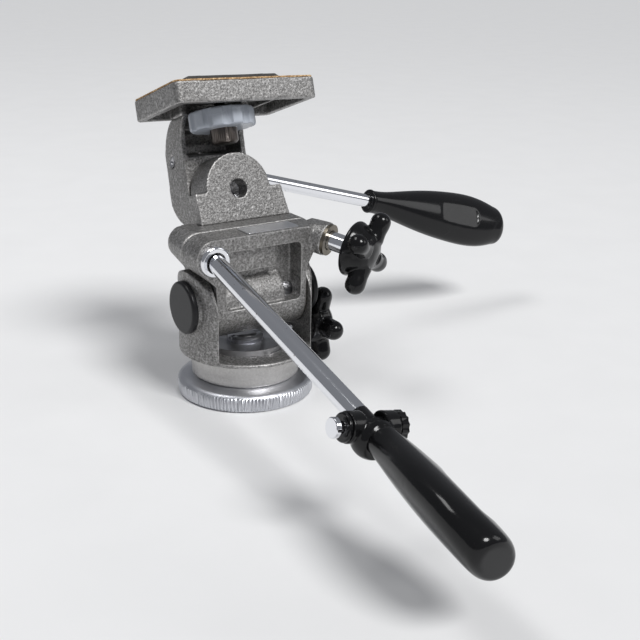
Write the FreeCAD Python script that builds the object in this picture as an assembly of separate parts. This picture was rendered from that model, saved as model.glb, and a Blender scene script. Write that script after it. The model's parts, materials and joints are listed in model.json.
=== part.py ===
import FreeCAD, Part
import math
import os

Vec = FreeCAD.Vector

# Three-way pan tilt head, in millimetres, +Z up.
# The origin is the mouth of the tripod socket, at the middle of the base disc.
# +X is the tilt axis to the right, and the front handle points towards -Y.

# Fits and running gaps
RUN_FIT = 0.06
SCREW_FIT = 0.05
AIR_GAP = 0.3
FIBRE_T = 0.5

# How far a cutter runs past the face it opens, and how near an edge lies to the face it is picked by
OVERCUT = 1.0
EDGE_TOLERANCE = 0.1

# Base disc and pan spindle
DISC_R = 30.0
DISC_RIM_H = 6.6
DISC_H = 8.6
DISC_EDGE_CHAMFER = 0.8
KNURL_COUNT = 120
KNURL_DEPTH = 0.35
SOCKET_R = 4.0
SOCKET_DEPTH = 12.0
SPINDLE_FOOT_R = 12.0
SPINDLE_WAIST_R = 8.0
PAN_AXLE_R = 5.0
FLANGE_GROOVE_R = 24.0
FLANGE_GROOVE_W = 1.2

# Friction drum that the pan lock presses on
DRUM_R = 18.0
DRUM_H = 6.0
DRUM_LIP_H = 2.1
DRUM_LIP_W = 0.8
PAN_NUT_R = 7.8
PAN_NUT_H = 2.5
NUT_SLOT_W = 1.6
NUT_SLOT_D = 0.9

# Fork
NECK_R = 23.6
NECK_TOP_R = 25.2
RING_Z = 19.6
FLOOR_Z = 21.4
FORK_R = 29.1
CHEEK_IN_X = 23.0
TILT_Z = 42.6
ARCH_R = 18.0
ARCH_DROP = 2.4
NOTCH_R = 1.4
NOTCH_X = 0.7
NOTCH_Y = -19.6
NOTCH_DEPTH = 1.2
CAP_R = 11.4
CAP_T = 2.7
CAP_SEAT_R = 10.4

# Pan lock on the right cheek
PAN_LOCK_Z = 24.0
PAN_LOCK_BOSS_R = 4.2
PAN_LOCK_BOSS_X = 30.6
PAN_STUD_R = 2.4
PAN_KNOB_X = 38.0

# Tilt axle
AXLE_R = 8.0
WASHER_STEP = 2.0
WASHER_PLAY = 0.03

# Tilt body: a casting split along the tilt axle
BODY_HALF_W = 22.4
BODY_TOP_Z = 74.5
BODY_FRONT_Y = -15.0
BODY_REAR_Y = 14.0
SEAM_Y = -1.2
SEAM_GAP = 0.5
BODY_SPAN = 60.0
BARREL_R = 15.0
SWEEP_GAP = 0.7
LEFT_BOSS_X = -23.0
LEFT_BOSS_R = 8.5
LEFT_BOSS_REAR_R = 6.9
SLAB_RIGHT_X = 31.5
SLAB_FRONT_RIGHT_X = 25.5
SLAB_CORNER_R = 3.5
SLAB_BOTTOM_Z = 56.0
SLAB_SIDE_LOW_Z = 62.0

# Recess in the front face
POCKET_LEFT_X = -17.5
POCKET_RIGHT_X = 19.3
POCKET_TOP_Z = 68.2
POCKET_LOW_Z = 42.7
POCKET_DEPTH = 9.0
POCKET_CORNER_R = 2.2
PANEL_RIGHT_X = 9.0
PANEL_LOW_Z = 58.0
PANEL_DEPTH = 3.6
SLEEVE_R = 12.9
SLEEVE_RIGHT_X = 13.0

# Screws and dowels across the seam
BODY_SCREW_X = (-14.0, 16.0)
BODY_SCREW_Z = 55.5
BODY_SCREW_R = 1.6
BODY_HEAD_R = 2.7
BODY_HEAD_H = 3.0
SCREW_TIP_ROOM = 1.0
HEX_DEPTH = 1.4
HEX_SHARE = 0.5
DOWEL_X = (-20.0, 20.8)
DOWEL_Z = 54.0
DOWEL_R = 1.0
DOWEL_HALF_L = 5.0

# Bare name plate on the front casting's top
LABEL_X = 6.3
LABEL_Y = -8.8
LABEL_L = 25.5
LABEL_W = 9.6
LABEL_T = 0.4
LABEL_CORNER_R = 1.2

# Front handle: its rod clamps the body halves together
HANDLE_ROOT = Vec(-23.5, -16.0, 65.8)
HANDLE_AZIMUTH = 4.7
HANDLE_DROOP = 11.0
ROD_R = 3.85
ROD_SCREW_R = 3.0
ROD_SHOULDER_T = -7.0
ROD_SCREW_END_T = -25.0
FERRULE_R = 6.6
FERRULE_H = 2.6
FERRULE_BORE_R = 4.5

# Cross bar at the rod's end, which the grip's hub folds round, and its button
BAR_T = 123.0
BAR_TURN = -12.0
BAR_R = 3.4
BAR_HALF_W = 9.8
BAR_NECK_T = 116.5
BAR_FLANGE_R = 5.0
BAR_FLANGE_W = 1.4
FLANGE_FILLET = 0.5
ROD_SPIGOT_R = 2.2
ROD_SPIGOT_L = 3.0
HUB_R = 5.4
HUB_END_GAP = 0.2
BALL_R = 7.6
BALL_T = 126.0
BALL_DROP = 2.0
BUTTON_R = 3.5
BUTTON_H = 2.0
BUTTON_TRAVEL = 1.8
BUTTON_STOP = 0.2
PLUNGER_R = 1.9
PLUNGER_END_X = -7.4
SPRING_SEAT_X = -3.0
SPRING_W = 1.9
SPRING_WIRE_R = 0.3
END_DISC_R = 5.5
END_DISC_T = 2.8
END_DISC_FLUTES = 14

# Grips: flattened oval, narrow at the neck
GRIP_NECK_R = 5.7
GRIP_HALF_W = 14.0
GRIP_HALF_T = 7.8
GRIP_PANEL_L = 26.0
GRIP_PANEL_W = 12.0
GRIP_PANEL_D = 0.7
FRONT_GRIP_START_T = 131.0
FRONT_GRIP_L = 61.5
FRONT_GRIP_ROLL = -48.0
REAR_GRIP_L = 88.5
REAR_GRIP_ROLL = 84.0

# Side stub and star knob on the right boss
STUB_ROOT = Vec(32.5, -15.3, 67.4)
STUB_AZIMUTH = 62.0
STUB_DROOP = 10.0
STUB_R = 4.2
STUB_IN = 9.0
SIDE_BOSS_R = 7.4
SIDE_BOSS_L = 12.0
RING_R = 7.0
RING_T = 1.5
STAR_MID = 19.6
SIDE_STAR_TURN = 44.5
PAN_STAR_TURN = 37.0
STAR_LOBES = 5
STAR_LOBE_AT = 14.0
STAR_LOBE_R = 4.5
STAR_HUB_R = 10.0
STAR_FACE_R = 7.6
STAR_HUB_IN = 6.2
STAR_HUB_OUT = 4.4

# Turret: leans back and carries the sideways tilt
TURRET_X = 4.6
TURRET_Y = 8.0
TURRET_LEAN = 18.9
TURRET_DEPTH = 16.0
FOOT_HALF_W = 22.3
FOOT_SHIFT = 1.3
SHOULDER_HALF_W = 21.4
SHOULDER_Z = 13.6
LATERAL_Z = 14.0
DOME_R = 15.7
TURRET_HOLE_R = 4.1
TURRET_HOLE_D = 8.0
LATERAL_AXLE_R = 7.0
FRICTION_T = 1.0
TURRET_SCREW_X = 12.0
TURRET_SCREW_Y = 9.5
TURRET_SCREW_R = 2.0
TURRET_SCREW_IN = 8.5
TURRET_HEAD_R = 3.4
TURRET_HEAD_H = 3.0
SADDLE_DROP = 15.0
SADDLE_EDGE = 5.0
SADDLE_MARGIN = 1.0
AXLE_THREAD_R = 3.0
WASHER_R = 9.5
WASHER_T = 1.3
NUT_R = 5.6
NUT_T = 3.0
NUT_CHAMFER = 0.6

# Goose-neck arm, in the turret's frame
LATERAL_AT_REST = 1.5
ARM_HALF_W = 16.0
ARM_WALL = 2.4
ARM_WEB = 3.2
ARM_REAR_Y = 36.0
ARM_HEAD_FRONT_Y = 11.2
ARM_HEAD_REAR_Y = 24.6
ARM_HEAD_Z = 48.5
ARM_LEDGE_Z = 32.8
ARM_BAR_FRONT_Y = 18.6
ARM_BAR_H = 5.5
ARM_NECK_DROP = 12.5
ARM_NECK_BULGE = 1.1
ARM_NECK_MIDDLE = 5.5
ARM_SHOULDER_IN = 1.0
ARM_SHOULDER_DROP = 14.5
ARM_SHOULDER_BULGE = 4.4
ARM_SHOULDER_MIDDLE = 6.3
ARM_SLIT_W = 1.4
ARM_SCREW_X = 10.0
ARM_SCREW_R = 1.5
ARM_SCREW_HEAD_R = 2.9

# Platform, in the turret's frame
PLATFORM_X0 = -32.8
PLATFORM_X1 = 34.8
PLATFORM_Y0 = -19.0
PLATFORM_Y1 = 24.0
PLATFORM_T = 9.0
PLATFORM_CORNER = 2.6
PLATFORM_RIM = 3.4
PLATFORM_SKIN = 3.6
RIB_X = 22.5
RIB_W = 1.6
RIB_H = 3.0
CORK_T = 0.8
PAD_T = 1.7
PAD_FROM_LEFT = 6.0
PAD_L = 45.5
PAD_BEVEL = 2.0
PAD_MARGIN_Y = 3.0
CAMERA_X = -1.8
CAMERA_Y = 3.0
CAMERA_SCREW_R = 3.15
CAMERA_KNOB_R = 14.5
CAMERA_KNOB_H = 8.2
CAMERA_KNOB_FLUTES = 10
CAMERA_FLUTE_R = 2.6
CAMERA_STEM_R = 6.0
CAMERA_STEM_H = 6.4
CAMERA_KNOB_FILLET = 1.2
CAMERA_STEM_CHAMFER = 1.0
CAMERA_COLLAR_R = 9.0
CAMERA_COLLAR_T = 1.0
CAMERA_SHANK_R = 2.5
CAMERA_THREAD_L = 3.7

# Rear handle: its screw closes the arm's hub on the lateral axle
REAR_ROOT = Vec(16.0, 30.0, 22.9)
REAR_AZIMUTH = 2.4
REAR_DROOP = 14.0
REAR_ROD_R = 3.25
REAR_SCREW_R = 2.5
REAR_GRIP_START = 78.4
REAR_ROD_IN_GRIP = 14.0
REAR_BOSS_R = 5.6
REAR_BOSS_L = 3.0
RIM_L = 1.2
SET_SCREW_R = 2.4
SET_SCREW_L = 3.2


def box(x0, x1, y0, y1, z0, z1):
    """Solid block between two corners."""
    return Part.makeBox(x1 - x0, y1 - y0, z1 - z0, Vec(x0, y0, z0))


def rod(radius, start, end):
    """Solid cylinder from one point to another."""
    along = end - start
    return Part.makeCylinder(radius, along.Length, start, along)


def upright(radius, z0, z1, x=0.0, y=0.0):
    """Solid cylinder along Z."""
    return rod(radius, Vec(x, y, z0), Vec(x, y, z1))


def extruded(points, thickness):
    """Prism from a closed outline of straight edges."""
    wire = Part.makePolygon(points + [points[0]])
    return Part.Face(wire).extrude(thickness)


def turned(profile):
    """Solid of revolution about Z from (radius, height) pairs."""
    points = [Vec(r, 0, z) for r, z in profile]
    face = Part.Face(Part.makePolygon(points + [points[0]]))
    return face.revolve(Vec(0, 0, 0), Vec(0, 0, 1), 360)


def rounded_bar(length, width, z0, z1, corner):
    """Rectangular prism about the origin with round upright corners."""
    block = box(-length / 2, length / 2, -width / 2, width / 2, z0, z1)
    uprights = [e for e in block.Edges if abs(e.tangentAt(e.FirstParameter).z) > 0.9]
    return block.makeFillet(corner, uprights)


def moved(shape, placement):
    """Copy of a shape, carried by a placement."""
    copy = shape.copy()
    copy.Placement = placement.multiply(copy.Placement)
    return copy


def aimed(origin, outward):
    """Placement whose +Z runs outwards and whose +Y stays as near up as it can."""
    z_dir = Vec(outward).normalize()
    y_dir = (Vec(0, 0, 1) - z_dir * z_dir.z).normalize()
    x_dir = y_dir.cross(z_dir)
    return FreeCAD.Placement(origin, FreeCAD.Rotation(x_dir, y_dir, z_dir, "ZXY"))


def drooping(azimuth, droop, forward):
    """Direction that leans down by droop and turns by azimuth from a level heading."""
    level = FreeCAD.Rotation(Vec(0, 0, 1), azimuth).multVec(forward)
    return level * math.cos(math.radians(droop)) - Vec(0, 0, math.sin(math.radians(droop)))


def lobe():
    """Round-ended arm along +X."""
    tip_x = STAR_LOBE_AT + STAR_LOBE_R
    slope = math.sqrt(0.5)
    edges = [Part.LineSegment(Vec(0, 0, 0), Vec(0, STAR_LOBE_R, 0)).toShape(),
             Part.LineSegment(Vec(0, STAR_LOBE_R, 0), Vec(STAR_LOBE_AT, STAR_LOBE_R, 0)).toShape(),
             Part.Arc(Vec(STAR_LOBE_AT, STAR_LOBE_R, 0),
                      Vec(STAR_LOBE_AT + STAR_LOBE_R * slope, STAR_LOBE_R * slope, 0),
                      Vec(tip_x, 0, 0)).toShape(),
             Part.LineSegment(Vec(tip_x, 0, 0), Vec(0, 0, 0)).toShape()]
    return Part.Face(Part.Wire(edges)).revolve(Vec(0, 0, 0), Vec(1, 0, 0), 360)


def star_knob(turn):
    """Five-armed knob about Z, with the arms' middle plane at zero."""
    hub = turned([(0, -STAR_HUB_IN), (STAR_FACE_R, -STAR_HUB_IN), (STAR_HUB_R, -STAR_HUB_IN / 2),
                  (STAR_HUB_R, STAR_HUB_OUT / 2), (STAR_FACE_R, STAR_HUB_OUT), (0, STAR_HUB_OUT)])
    lobes = []
    for k in range(STAR_LOBES):
        arm_k = lobe()
        arm_k.rotate(Vec(0, 0, 0), Vec(0, 0, 1), turn + 360.0 * k / STAR_LOBES)
        lobes.append(arm_k)
    return hub.multiFuse(lobes).removeSplitter()


def oval(half_w, half_t, z, roll):
    """Closed oval outline across Z."""
    curve = Part.Ellipse(Vec(0, 0, z), max(half_w, half_t), min(half_w, half_t)).toShape()
    curve.rotate(Vec(0, 0, z), Vec(0, 0, 1), roll)
    return Part.Wire([curve])


def grip(length, roll):
    """Flattened grip from its neck at zero to its rounded end."""
    # Shares of the length, of the widening to the full width, and to the full thickness
    stations = [(0.0, 0.0, 0.0), (0.08, 0.04, 0.10), (0.20, 0.28, 0.42), (0.40, 0.70, 0.82),
                (0.58, 0.93, 1.0), (0.72, 1.0, 1.0), (0.85, 0.86, 0.95), (0.94, 0.60, 0.82)]
    wires = []
    for share, wide, thick in stations:
        half_w = GRIP_NECK_R + (GRIP_HALF_W - GRIP_NECK_R) * wide + 0.02
        half_t = GRIP_NECK_R + (GRIP_HALF_T - GRIP_NECK_R) * thick
        wires.append(oval(half_w, half_t, length * share, roll))
    body = Part.makeLoft(wires, True, False)
    last_w = GRIP_NECK_R + (GRIP_HALF_W - GRIP_NECK_R) * stations[-1][1] + 0.02
    last_t = GRIP_NECK_R + (GRIP_HALF_T - GRIP_NECK_R) * stations[-1][2]
    end = Part.makeLoft([oval(last_w, last_t, length * stations[-1][0], roll),
                         oval(last_w * 0.88, last_t * 0.90, length * 0.98, roll),
                         oval(last_w * 0.68, last_t * 0.70, length, roll)], True, False)
    panel = rounded_bar(GRIP_PANEL_W, GRIP_PANEL_L, GRIP_HALF_T - GRIP_PANEL_D,
                        GRIP_HALF_T * 2, GRIP_PANEL_W * 0.4)
    # The panel's length runs along the grip and its depth along the thin direction
    panel.rotate(Vec(0, 0, 0), Vec(1, 0, 0), -90)
    panel.rotate(Vec(0, 0, 0), Vec(0, 0, 1), roll)
    panel.translate(Vec(0, 0, length * 0.62))
    return body.fuse(end).cut(panel).removeSplitter()


parts = {}

# Frames of the drooping handles, the stub and the leaning turret
handle_dir = drooping(-HANDLE_AZIMUTH, HANDLE_DROOP, Vec(0, -1, 0))
handle_frame = aimed(HANDLE_ROOT, handle_dir)
stub_dir = drooping(-STUB_AZIMUTH, STUB_DROOP, Vec(1, 0, 0))
stub_frame = aimed(STUB_ROOT, stub_dir)
turret_frame = FreeCAD.Placement(Vec(TURRET_X, TURRET_Y, BODY_TOP_Z),
                                 FreeCAD.Rotation(Vec(1, 0, 0), -TURRET_LEAN))
roll_at_rest = FreeCAD.Placement(Vec(0, 0, 0), FreeCAD.Rotation(Vec(0, 1, 0), LATERAL_AT_REST),
                                 Vec(0, 0, LATERAL_Z))
arm_frame = turret_frame.multiply(roll_at_rest)
rear_dir = drooping(REAR_AZIMUTH, REAR_DROOP, Vec(1, 0, 0))
rear_frame = arm_frame.multiply(aimed(REAR_ROOT, rear_dir))

# Base disc: a knurled flange round the foot of the spindle
disc = turned([(SPINDLE_FOOT_R, 0), (DISC_R - DISC_EDGE_CHAMFER, 0), (DISC_R, DISC_EDGE_CHAMFER),
               (DISC_R, DISC_RIM_H - DISC_EDGE_CHAMFER), (DISC_R - DISC_EDGE_CHAMFER, DISC_RIM_H),
               (NECK_R, DISC_H), (SPINDLE_FOOT_R, DISC_H)])
groove_out = FLANGE_GROOVE_R + FLANGE_GROOVE_W
groove = turned([(FLANGE_GROOVE_R, -1), (groove_out, -1), (groove_out, FLANGE_GROOVE_W / 2),
                 (FLANGE_GROOVE_R, FLANGE_GROOVE_W / 2)])
knurl_points = []
for k in range(2 * KNURL_COUNT):
    knurl_turn = math.pi * k / KNURL_COUNT
    knurl_r = DISC_R + KNURL_DEPTH if k % 2 == 0 else DISC_R - KNURL_DEPTH
    knurl_points.append(Vec(knurl_r * math.cos(knurl_turn), knurl_r * math.sin(knurl_turn), -1))
knurl = extruded(knurl_points, Vec(0, 0, DISC_H + 2))
parts["base_disc"] = disc.cut(groove).common(knurl)

# Spindle: its foot fills the disc and holds the tripod socket
drum_top = FLOOR_Z + DRUM_LIP_H
drum_floor = drum_top - DRUM_LIP_W
drum_low = drum_top - DRUM_H
nut_top = drum_floor + PAN_NUT_H
spindle = upright(SPINDLE_FOOT_R, 0, DISC_H).fuse(upright(SPINDLE_WAIST_R, 0, drum_low))
spindle = spindle.fuse(upright(PAN_AXLE_R, 0, nut_top)).removeSplitter()
parts["pan_spindle"] = spindle.cut(upright(SOCKET_R, -1, SOCKET_DEPTH))

# Drum that the pan lock presses on, and the slotted nut over it
drum = upright(DRUM_R, drum_low, drum_top)
drum = drum.cut(upright(DRUM_R - DRUM_LIP_W, drum_floor, drum_top + 1))
parts["pan_drum"] = drum.cut(upright(PAN_AXLE_R + SCREW_FIT, drum_low - 1, drum_top))
nut = upright(PAN_NUT_R, drum_floor, nut_top)
nut = nut.makeChamfer(NUT_SLOT_D * 0.6, [e for e in nut.Edges if e.BoundBox.ZMin > nut_top - 0.1])
nut = nut.cut(upright(PAN_AXLE_R + SCREW_FIT, drum_floor - 1, nut_top + 1))
slot_reach = PAN_NUT_R + OVERCUT
slots = box(-slot_reach, slot_reach, -NUT_SLOT_W / 2, NUT_SLOT_W / 2, nut_top - NUT_SLOT_D,
            nut_top + OVERCUT)
parts["pan_nut"] = nut.cut(slots)

# Fibre ring in the fork's underside, on the disc
fibre_in = SPINDLE_WAIST_R + 2.0
fibre_out = NECK_R - 3.0
parts["pan_friction_ring"] = upright(fibre_out, DISC_H, DISC_H + FIBRE_T).cut(
    upright(fibre_in, DISC_H - 1, DISC_H + 1))

# Fork: flared neck, thin ring, and two cheeks cut from one cylinder
fork_low = DISC_H + RUN_FIT * 2
arch_z = TILT_Z - ARCH_DROP
fork_base = turned([(0, fork_low), (NECK_R, fork_low), (NECK_R + 0.2, fork_low + 3.5),
                    (NECK_TOP_R - 0.4, RING_Z - 3.0), (NECK_TOP_R, RING_Z - 0.8),
                    (NECK_TOP_R + 1.2, RING_Z), (FORK_R, RING_Z), (FORK_R, FLOOR_Z), (0, FLOOR_Z)])
reach = FORK_R + OVERCUT
above_arch = box(-reach, reach, -reach, reach, arch_z, arch_z + reach)
above_arch = above_arch.cut(rod(ARCH_R, Vec(-2 * reach, 0, arch_z), Vec(2 * reach, 0, arch_z)))
cheek_block = upright(FORK_R, RING_Z, arch_z + ARCH_R + OVERCUT).cut(above_arch)
cheeks = [cheek_block.common(box(CHEEK_IN_X, reach, -reach, reach, 0, arch_z + reach)),
          cheek_block.common(box(-reach, -CHEEK_IN_X, -reach, reach, 0, arch_z + reach))]
cap_seat_x = FORK_R - 0.3
seats = [rod(CAP_SEAT_R, Vec(-cap_seat_x, 0, TILT_Z), Vec(-CHEEK_IN_X, 0, TILT_Z)),
         rod(CAP_SEAT_R, Vec(CHEEK_IN_X, 0, TILT_Z), Vec(cap_seat_x, 0, TILT_Z)),
         rod(PAN_LOCK_BOSS_R, Vec(CHEEK_IN_X, 0, PAN_LOCK_Z), Vec(PAN_LOCK_BOSS_X, 0, PAN_LOCK_Z))]
fork = fork_base.multiFuse(cheeks + seats)
fork = fork.cut(upright(DRUM_R + RUN_FIT, drum_low - RUN_FIT * 2, FLOOR_Z + 10))
fork = fork.cut(upright(SPINDLE_WAIST_R + RUN_FIT, 0, FLOOR_Z))
fork = fork.cut(upright(fibre_out + AIR_GAP, 0, DISC_H + FIBRE_T).cut(
    upright(fibre_in - AIR_GAP, -1, DISC_H + 1)))
fork = fork.cut(rod(AXLE_R, Vec(-FORK_R - 1, 0, TILT_Z), Vec(FORK_R + 1, 0, TILT_Z)))
fork = fork.cut(rod(PAN_STUD_R + SCREW_FIT, Vec(0, 0, PAN_LOCK_Z), Vec(FORK_R * 2, 0, PAN_LOCK_Z)))
fork = fork.cut(upright(NOTCH_R, FLOOR_Z - NOTCH_DEPTH, FLOOR_Z + OVERCUT, NOTCH_X, NOTCH_Y))
for side in (-1, 1):
    cap_room = Vec(side * cap_seat_x, 0, TILT_Z)
    fork = fork.cut(rod(CAP_R + AIR_GAP, cap_room, cap_room + Vec(side * CAP_T, 0, 0)))
parts["fork"] = fork.removeSplitter()

# Tilt axle, fixed in the cheeks, with a cap over each end
axle_half = cap_seat_x - 0.5
parts["tilt_axle"] = rod(AXLE_R, Vec(-axle_half, 0, TILT_Z), Vec(axle_half, 0, TILT_Z))
for side, side_name in ((-1, "left"), (1, "right")):
    cap_in = Vec(side * cap_seat_x, 0, TILT_Z)
    cap = rod(CAP_R, cap_in, cap_in + Vec(side * CAP_T, 0, 0))
    cap_rim = [e for e in cap.Edges if abs(e.BoundBox.Center.x) > cap_seat_x + CAP_T - 0.1]
    parts["axle_cap_" + side_name] = cap.makeFillet(CAP_T * 0.45, cap_rim)

# Thin washers that fill the gap between the cheeks and the tilt body
for side, side_name in ((-1, "left"), (1, "right")):
    washer_in = Vec(side * (BODY_HALF_W + WASHER_PLAY), 0, TILT_Z)
    washer = rod(BARREL_R - WASHER_STEP, washer_in, Vec(side * CHEEK_IN_X, 0, TILT_Z))
    bore = rod(AXLE_R + RUN_FIT, Vec(-FORK_R, 0, TILT_Z), Vec(FORK_R, 0, TILT_Z))
    parts["tilt_washer_" + side_name] = washer.cut(bore)

# Pan lock: a star knob whose stud runs through the right cheek to the drum
stud_in = DRUM_R + RUN_FIT
parts["pan_lock_stud"] = rod(PAN_STUD_R, Vec(stud_in, 0, PAN_LOCK_Z), Vec(PAN_KNOB_X, 0, PAN_LOCK_Z))
pan_knob = moved(star_knob(PAN_STAR_TURN), aimed(Vec(PAN_KNOB_X, 0, PAN_LOCK_Z), Vec(1, 0, 0)))
parts["pan_lock_knob"] = pan_knob.cut(parts["pan_lock_stud"])


def slab_outline(y, boss_r, right_x):
    """Outline of the upper body across Y: round left end, level top, sloping lower sides."""
    boss_z = BODY_TOP_Z - boss_r
    slope = math.sqrt(0.5)
    start = Vec(LEFT_BOSS_X - boss_r * slope, y, boss_z - boss_r * slope)
    middle = Vec(LEFT_BOSS_X - boss_r, y, boss_z)
    top_left = Vec(LEFT_BOSS_X, y, BODY_TOP_Z)
    top_right = Vec(right_x - SLAB_CORNER_R, y, BODY_TOP_Z)
    corner_mid = Vec(right_x - SLAB_CORNER_R * (1 - slope), y, BODY_TOP_Z - SLAB_CORNER_R * (1 - slope))
    side_top = Vec(right_x, y, BODY_TOP_Z - SLAB_CORNER_R)
    side_low = Vec(right_x, y, SLAB_SIDE_LOW_Z)
    low_right = Vec(BODY_HALF_W, y, SLAB_BOTTOM_Z)
    low_left = Vec(-BODY_HALF_W, y, start.z - (-BODY_HALF_W - start.x))
    if low_left.z > SLAB_BOTTOM_Z:
        low_left.z = SLAB_BOTTOM_Z
    edges = [Part.Arc(start, middle, top_left).toShape(), Part.LineSegment(top_left, top_right).toShape(),
             Part.Arc(top_right, corner_mid, side_top).toShape(),
             Part.LineSegment(side_top, side_low).toShape(), Part.LineSegment(side_low, low_right).toShape(),
             Part.LineSegment(low_right, low_left).toShape(), Part.LineSegment(low_left, start).toShape()]
    return Part.Wire(edges)


# Cutters that both body halves share
tilt_bore = rod(AXLE_R + RUN_FIT, Vec(-FORK_R, 0, TILT_Z), Vec(FORK_R, 0, TILT_Z))
sweep_r = ARCH_R + SWEEP_GAP
sweeps = [rod(sweep_r, Vec(side * (BODY_HALF_W + 0.01), 0, TILT_Z), Vec(side * FORK_R * 2, 0, TILT_Z))
          for side in (-1, 1)]
seam_front = SEAM_Y - SEAM_GAP / 2
seam_rear = SEAM_Y + SEAM_GAP / 2
rod_hole = moved(upright(ROD_R + RUN_FIT, ROD_SHOULDER_T - AIR_GAP, BAR_NECK_T), handle_frame)
screw_hole = moved(upright(ROD_SCREW_R + SCREW_FIT, ROD_SCREW_END_T - 1, BAR_NECK_T), handle_frame)

# Lower body: a barrel round the axle with a flat front and rear above it
barrel = rod(BARREL_R, Vec(-BODY_HALF_W, 0, TILT_Z), Vec(BODY_HALF_W, 0, TILT_Z))
lower_front = box(-BODY_HALF_W, BODY_HALF_W, BODY_FRONT_Y, 0, TILT_Z, SLAB_BOTTOM_Z + 4)
lower_rear = box(-BODY_HALF_W, BODY_HALF_W, 0, BODY_REAR_Y, TILT_Z, SLAB_BOTTOM_Z + 4)

# Front body with its recess, side boss and rod hole
front_slab = Part.makeLoft([slab_outline(seam_front, LEFT_BOSS_R, SLAB_RIGHT_X),
                            slab_outline(BODY_FRONT_Y, LEFT_BOSS_R - 0.3, SLAB_FRONT_RIGHT_X)], True, True)
side_boss = moved(upright(SIDE_BOSS_R, -SIDE_BOSS_L, 0), stub_frame)
side_boss = side_boss.cut(box(-BODY_SPAN, BODY_SPAN, -BODY_SPAN, BODY_SPAN, BODY_TOP_Z, 2 * BODY_SPAN))
front = front_slab.multiFuse([side_boss, barrel, lower_front])
front = front.cut(box(-BODY_SPAN, BODY_SPAN, seam_front, BODY_SPAN, 0, 2 * BODY_SPAN))
pocket_w = POCKET_RIGHT_X - POCKET_LEFT_X
pocket_h = POCKET_TOP_Z - POCKET_LOW_Z
pocket = rounded_bar(pocket_w, pocket_h, 0, POCKET_DEPTH + 5, POCKET_CORNER_R)
pocket.rotate(Vec(0, 0, 0), Vec(1, 0, 0), 90)
pocket.translate(Vec((POCKET_LEFT_X + POCKET_RIGHT_X) / 2, BODY_FRONT_Y + POCKET_DEPTH,
                     (POCKET_TOP_Z + POCKET_LOW_Z) / 2))
panel = box(POCKET_LEFT_X, PANEL_RIGHT_X, BODY_FRONT_Y + PANEL_DEPTH, BODY_FRONT_Y + POCKET_DEPTH + 1,
            PANEL_LOW_Z, POCKET_TOP_Z + 1)
sleeve = rod(SLEEVE_R, Vec(POCKET_LEFT_X, 0, TILT_Z), Vec(SLEEVE_RIGHT_X, 0, TILT_Z))
front = front.cut(pocket.cut(panel).cut(sleeve))
stub_hole = moved(upright(STUB_R + SCREW_FIT, -STUB_IN, 10), stub_frame)
screw_seats = [Vec(x, 0, BODY_SCREW_Z) for x in BODY_SCREW_X]
screw_holes = [rod(BODY_SCREW_R + SCREW_FIT, seat + Vec(0, BODY_FRONT_Y + POCKET_DEPTH + 0.8, 0),
                   seat + Vec(0, BODY_REAR_Y + 5, 0)) for seat in screw_seats]
dowel_seats = [Vec(x, 0, DOWEL_Z) for x in DOWEL_X]
dowels = [rod(DOWEL_R, seat + Vec(0, SEAM_Y - DOWEL_HALF_L, 0), seat + Vec(0, SEAM_Y + DOWEL_HALF_L, 0))
          for seat in dowel_seats]
for cutter in sweeps + [tilt_bore, rod_hole, screw_hole, stub_hole] + screw_holes + dowels:
    front = front.cut(cutter)
parts["front_body"] = front.removeSplitter()

# Rear body, with the sloping saddle that the turret stands on
rear_slab = Part.makeLoft([slab_outline(seam_rear, LEFT_BOSS_R, SLAB_RIGHT_X),
                           slab_outline(BODY_REAR_Y, LEFT_BOSS_REAR_R, SLAB_RIGHT_X)], True, True)
saddle_points = [(-4.0, -SADDLE_DROP), (0.0, 0.0), (TURRET_DEPTH, 0.0), (TURRET_DEPTH, -SADDLE_EDGE),
                 (TURRET_DEPTH * 0.4, -SADDLE_DROP)]
saddle_x0 = FOOT_SHIFT - FOOT_HALF_W - SADDLE_MARGIN
saddle_x1 = FOOT_SHIFT + FOOT_HALF_W + SADDLE_MARGIN
saddle = moved(extruded([Vec(saddle_x0, y, z) for y, z in saddle_points],
                        Vec(saddle_x1 - saddle_x0, 0, 0)), turret_frame)
rear = rear_slab.multiFuse([barrel, lower_rear, saddle])
rear = rear.cut(box(-BODY_SPAN, BODY_SPAN, -BODY_SPAN, seam_rear, 0, 2 * BODY_SPAN))
rear = rear.cut(moved(box(saddle_x0, saddle_x1, 0, BODY_SPAN, 0, SHOULDER_Z), turret_frame))
head_pockets = [rod(BODY_HEAD_R + AIR_GAP, seat + Vec(0, BODY_REAR_Y - BODY_HEAD_H, 0),
                    seat + Vec(0, BODY_REAR_Y + 9, 0)) for seat in screw_seats]
turret_screw_seats = [Vec(side * TURRET_SCREW_X, TURRET_SCREW_Y, 0) for side in (-1, 1)]
turret_screw_holes = [moved(upright(TURRET_SCREW_R + SCREW_FIT, -30, TURRET_SCREW_IN, seat.x, seat.y),
                            turret_frame) for seat in turret_screw_seats]
turret_head_pockets = [moved(upright(TURRET_HEAD_R + AIR_GAP, -30, -SADDLE_EDGE, seat.x, seat.y),
                             turret_frame) for seat in turret_screw_seats]
for cutter in sweeps + [tilt_bore, screw_hole] + screw_holes + dowels + head_pockets:
    rear = rear.cut(cutter)
for cutter in turret_screw_holes + turret_head_pockets:
    rear = rear.cut(cutter)
parts["rear_body"] = rear.removeSplitter()

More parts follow.
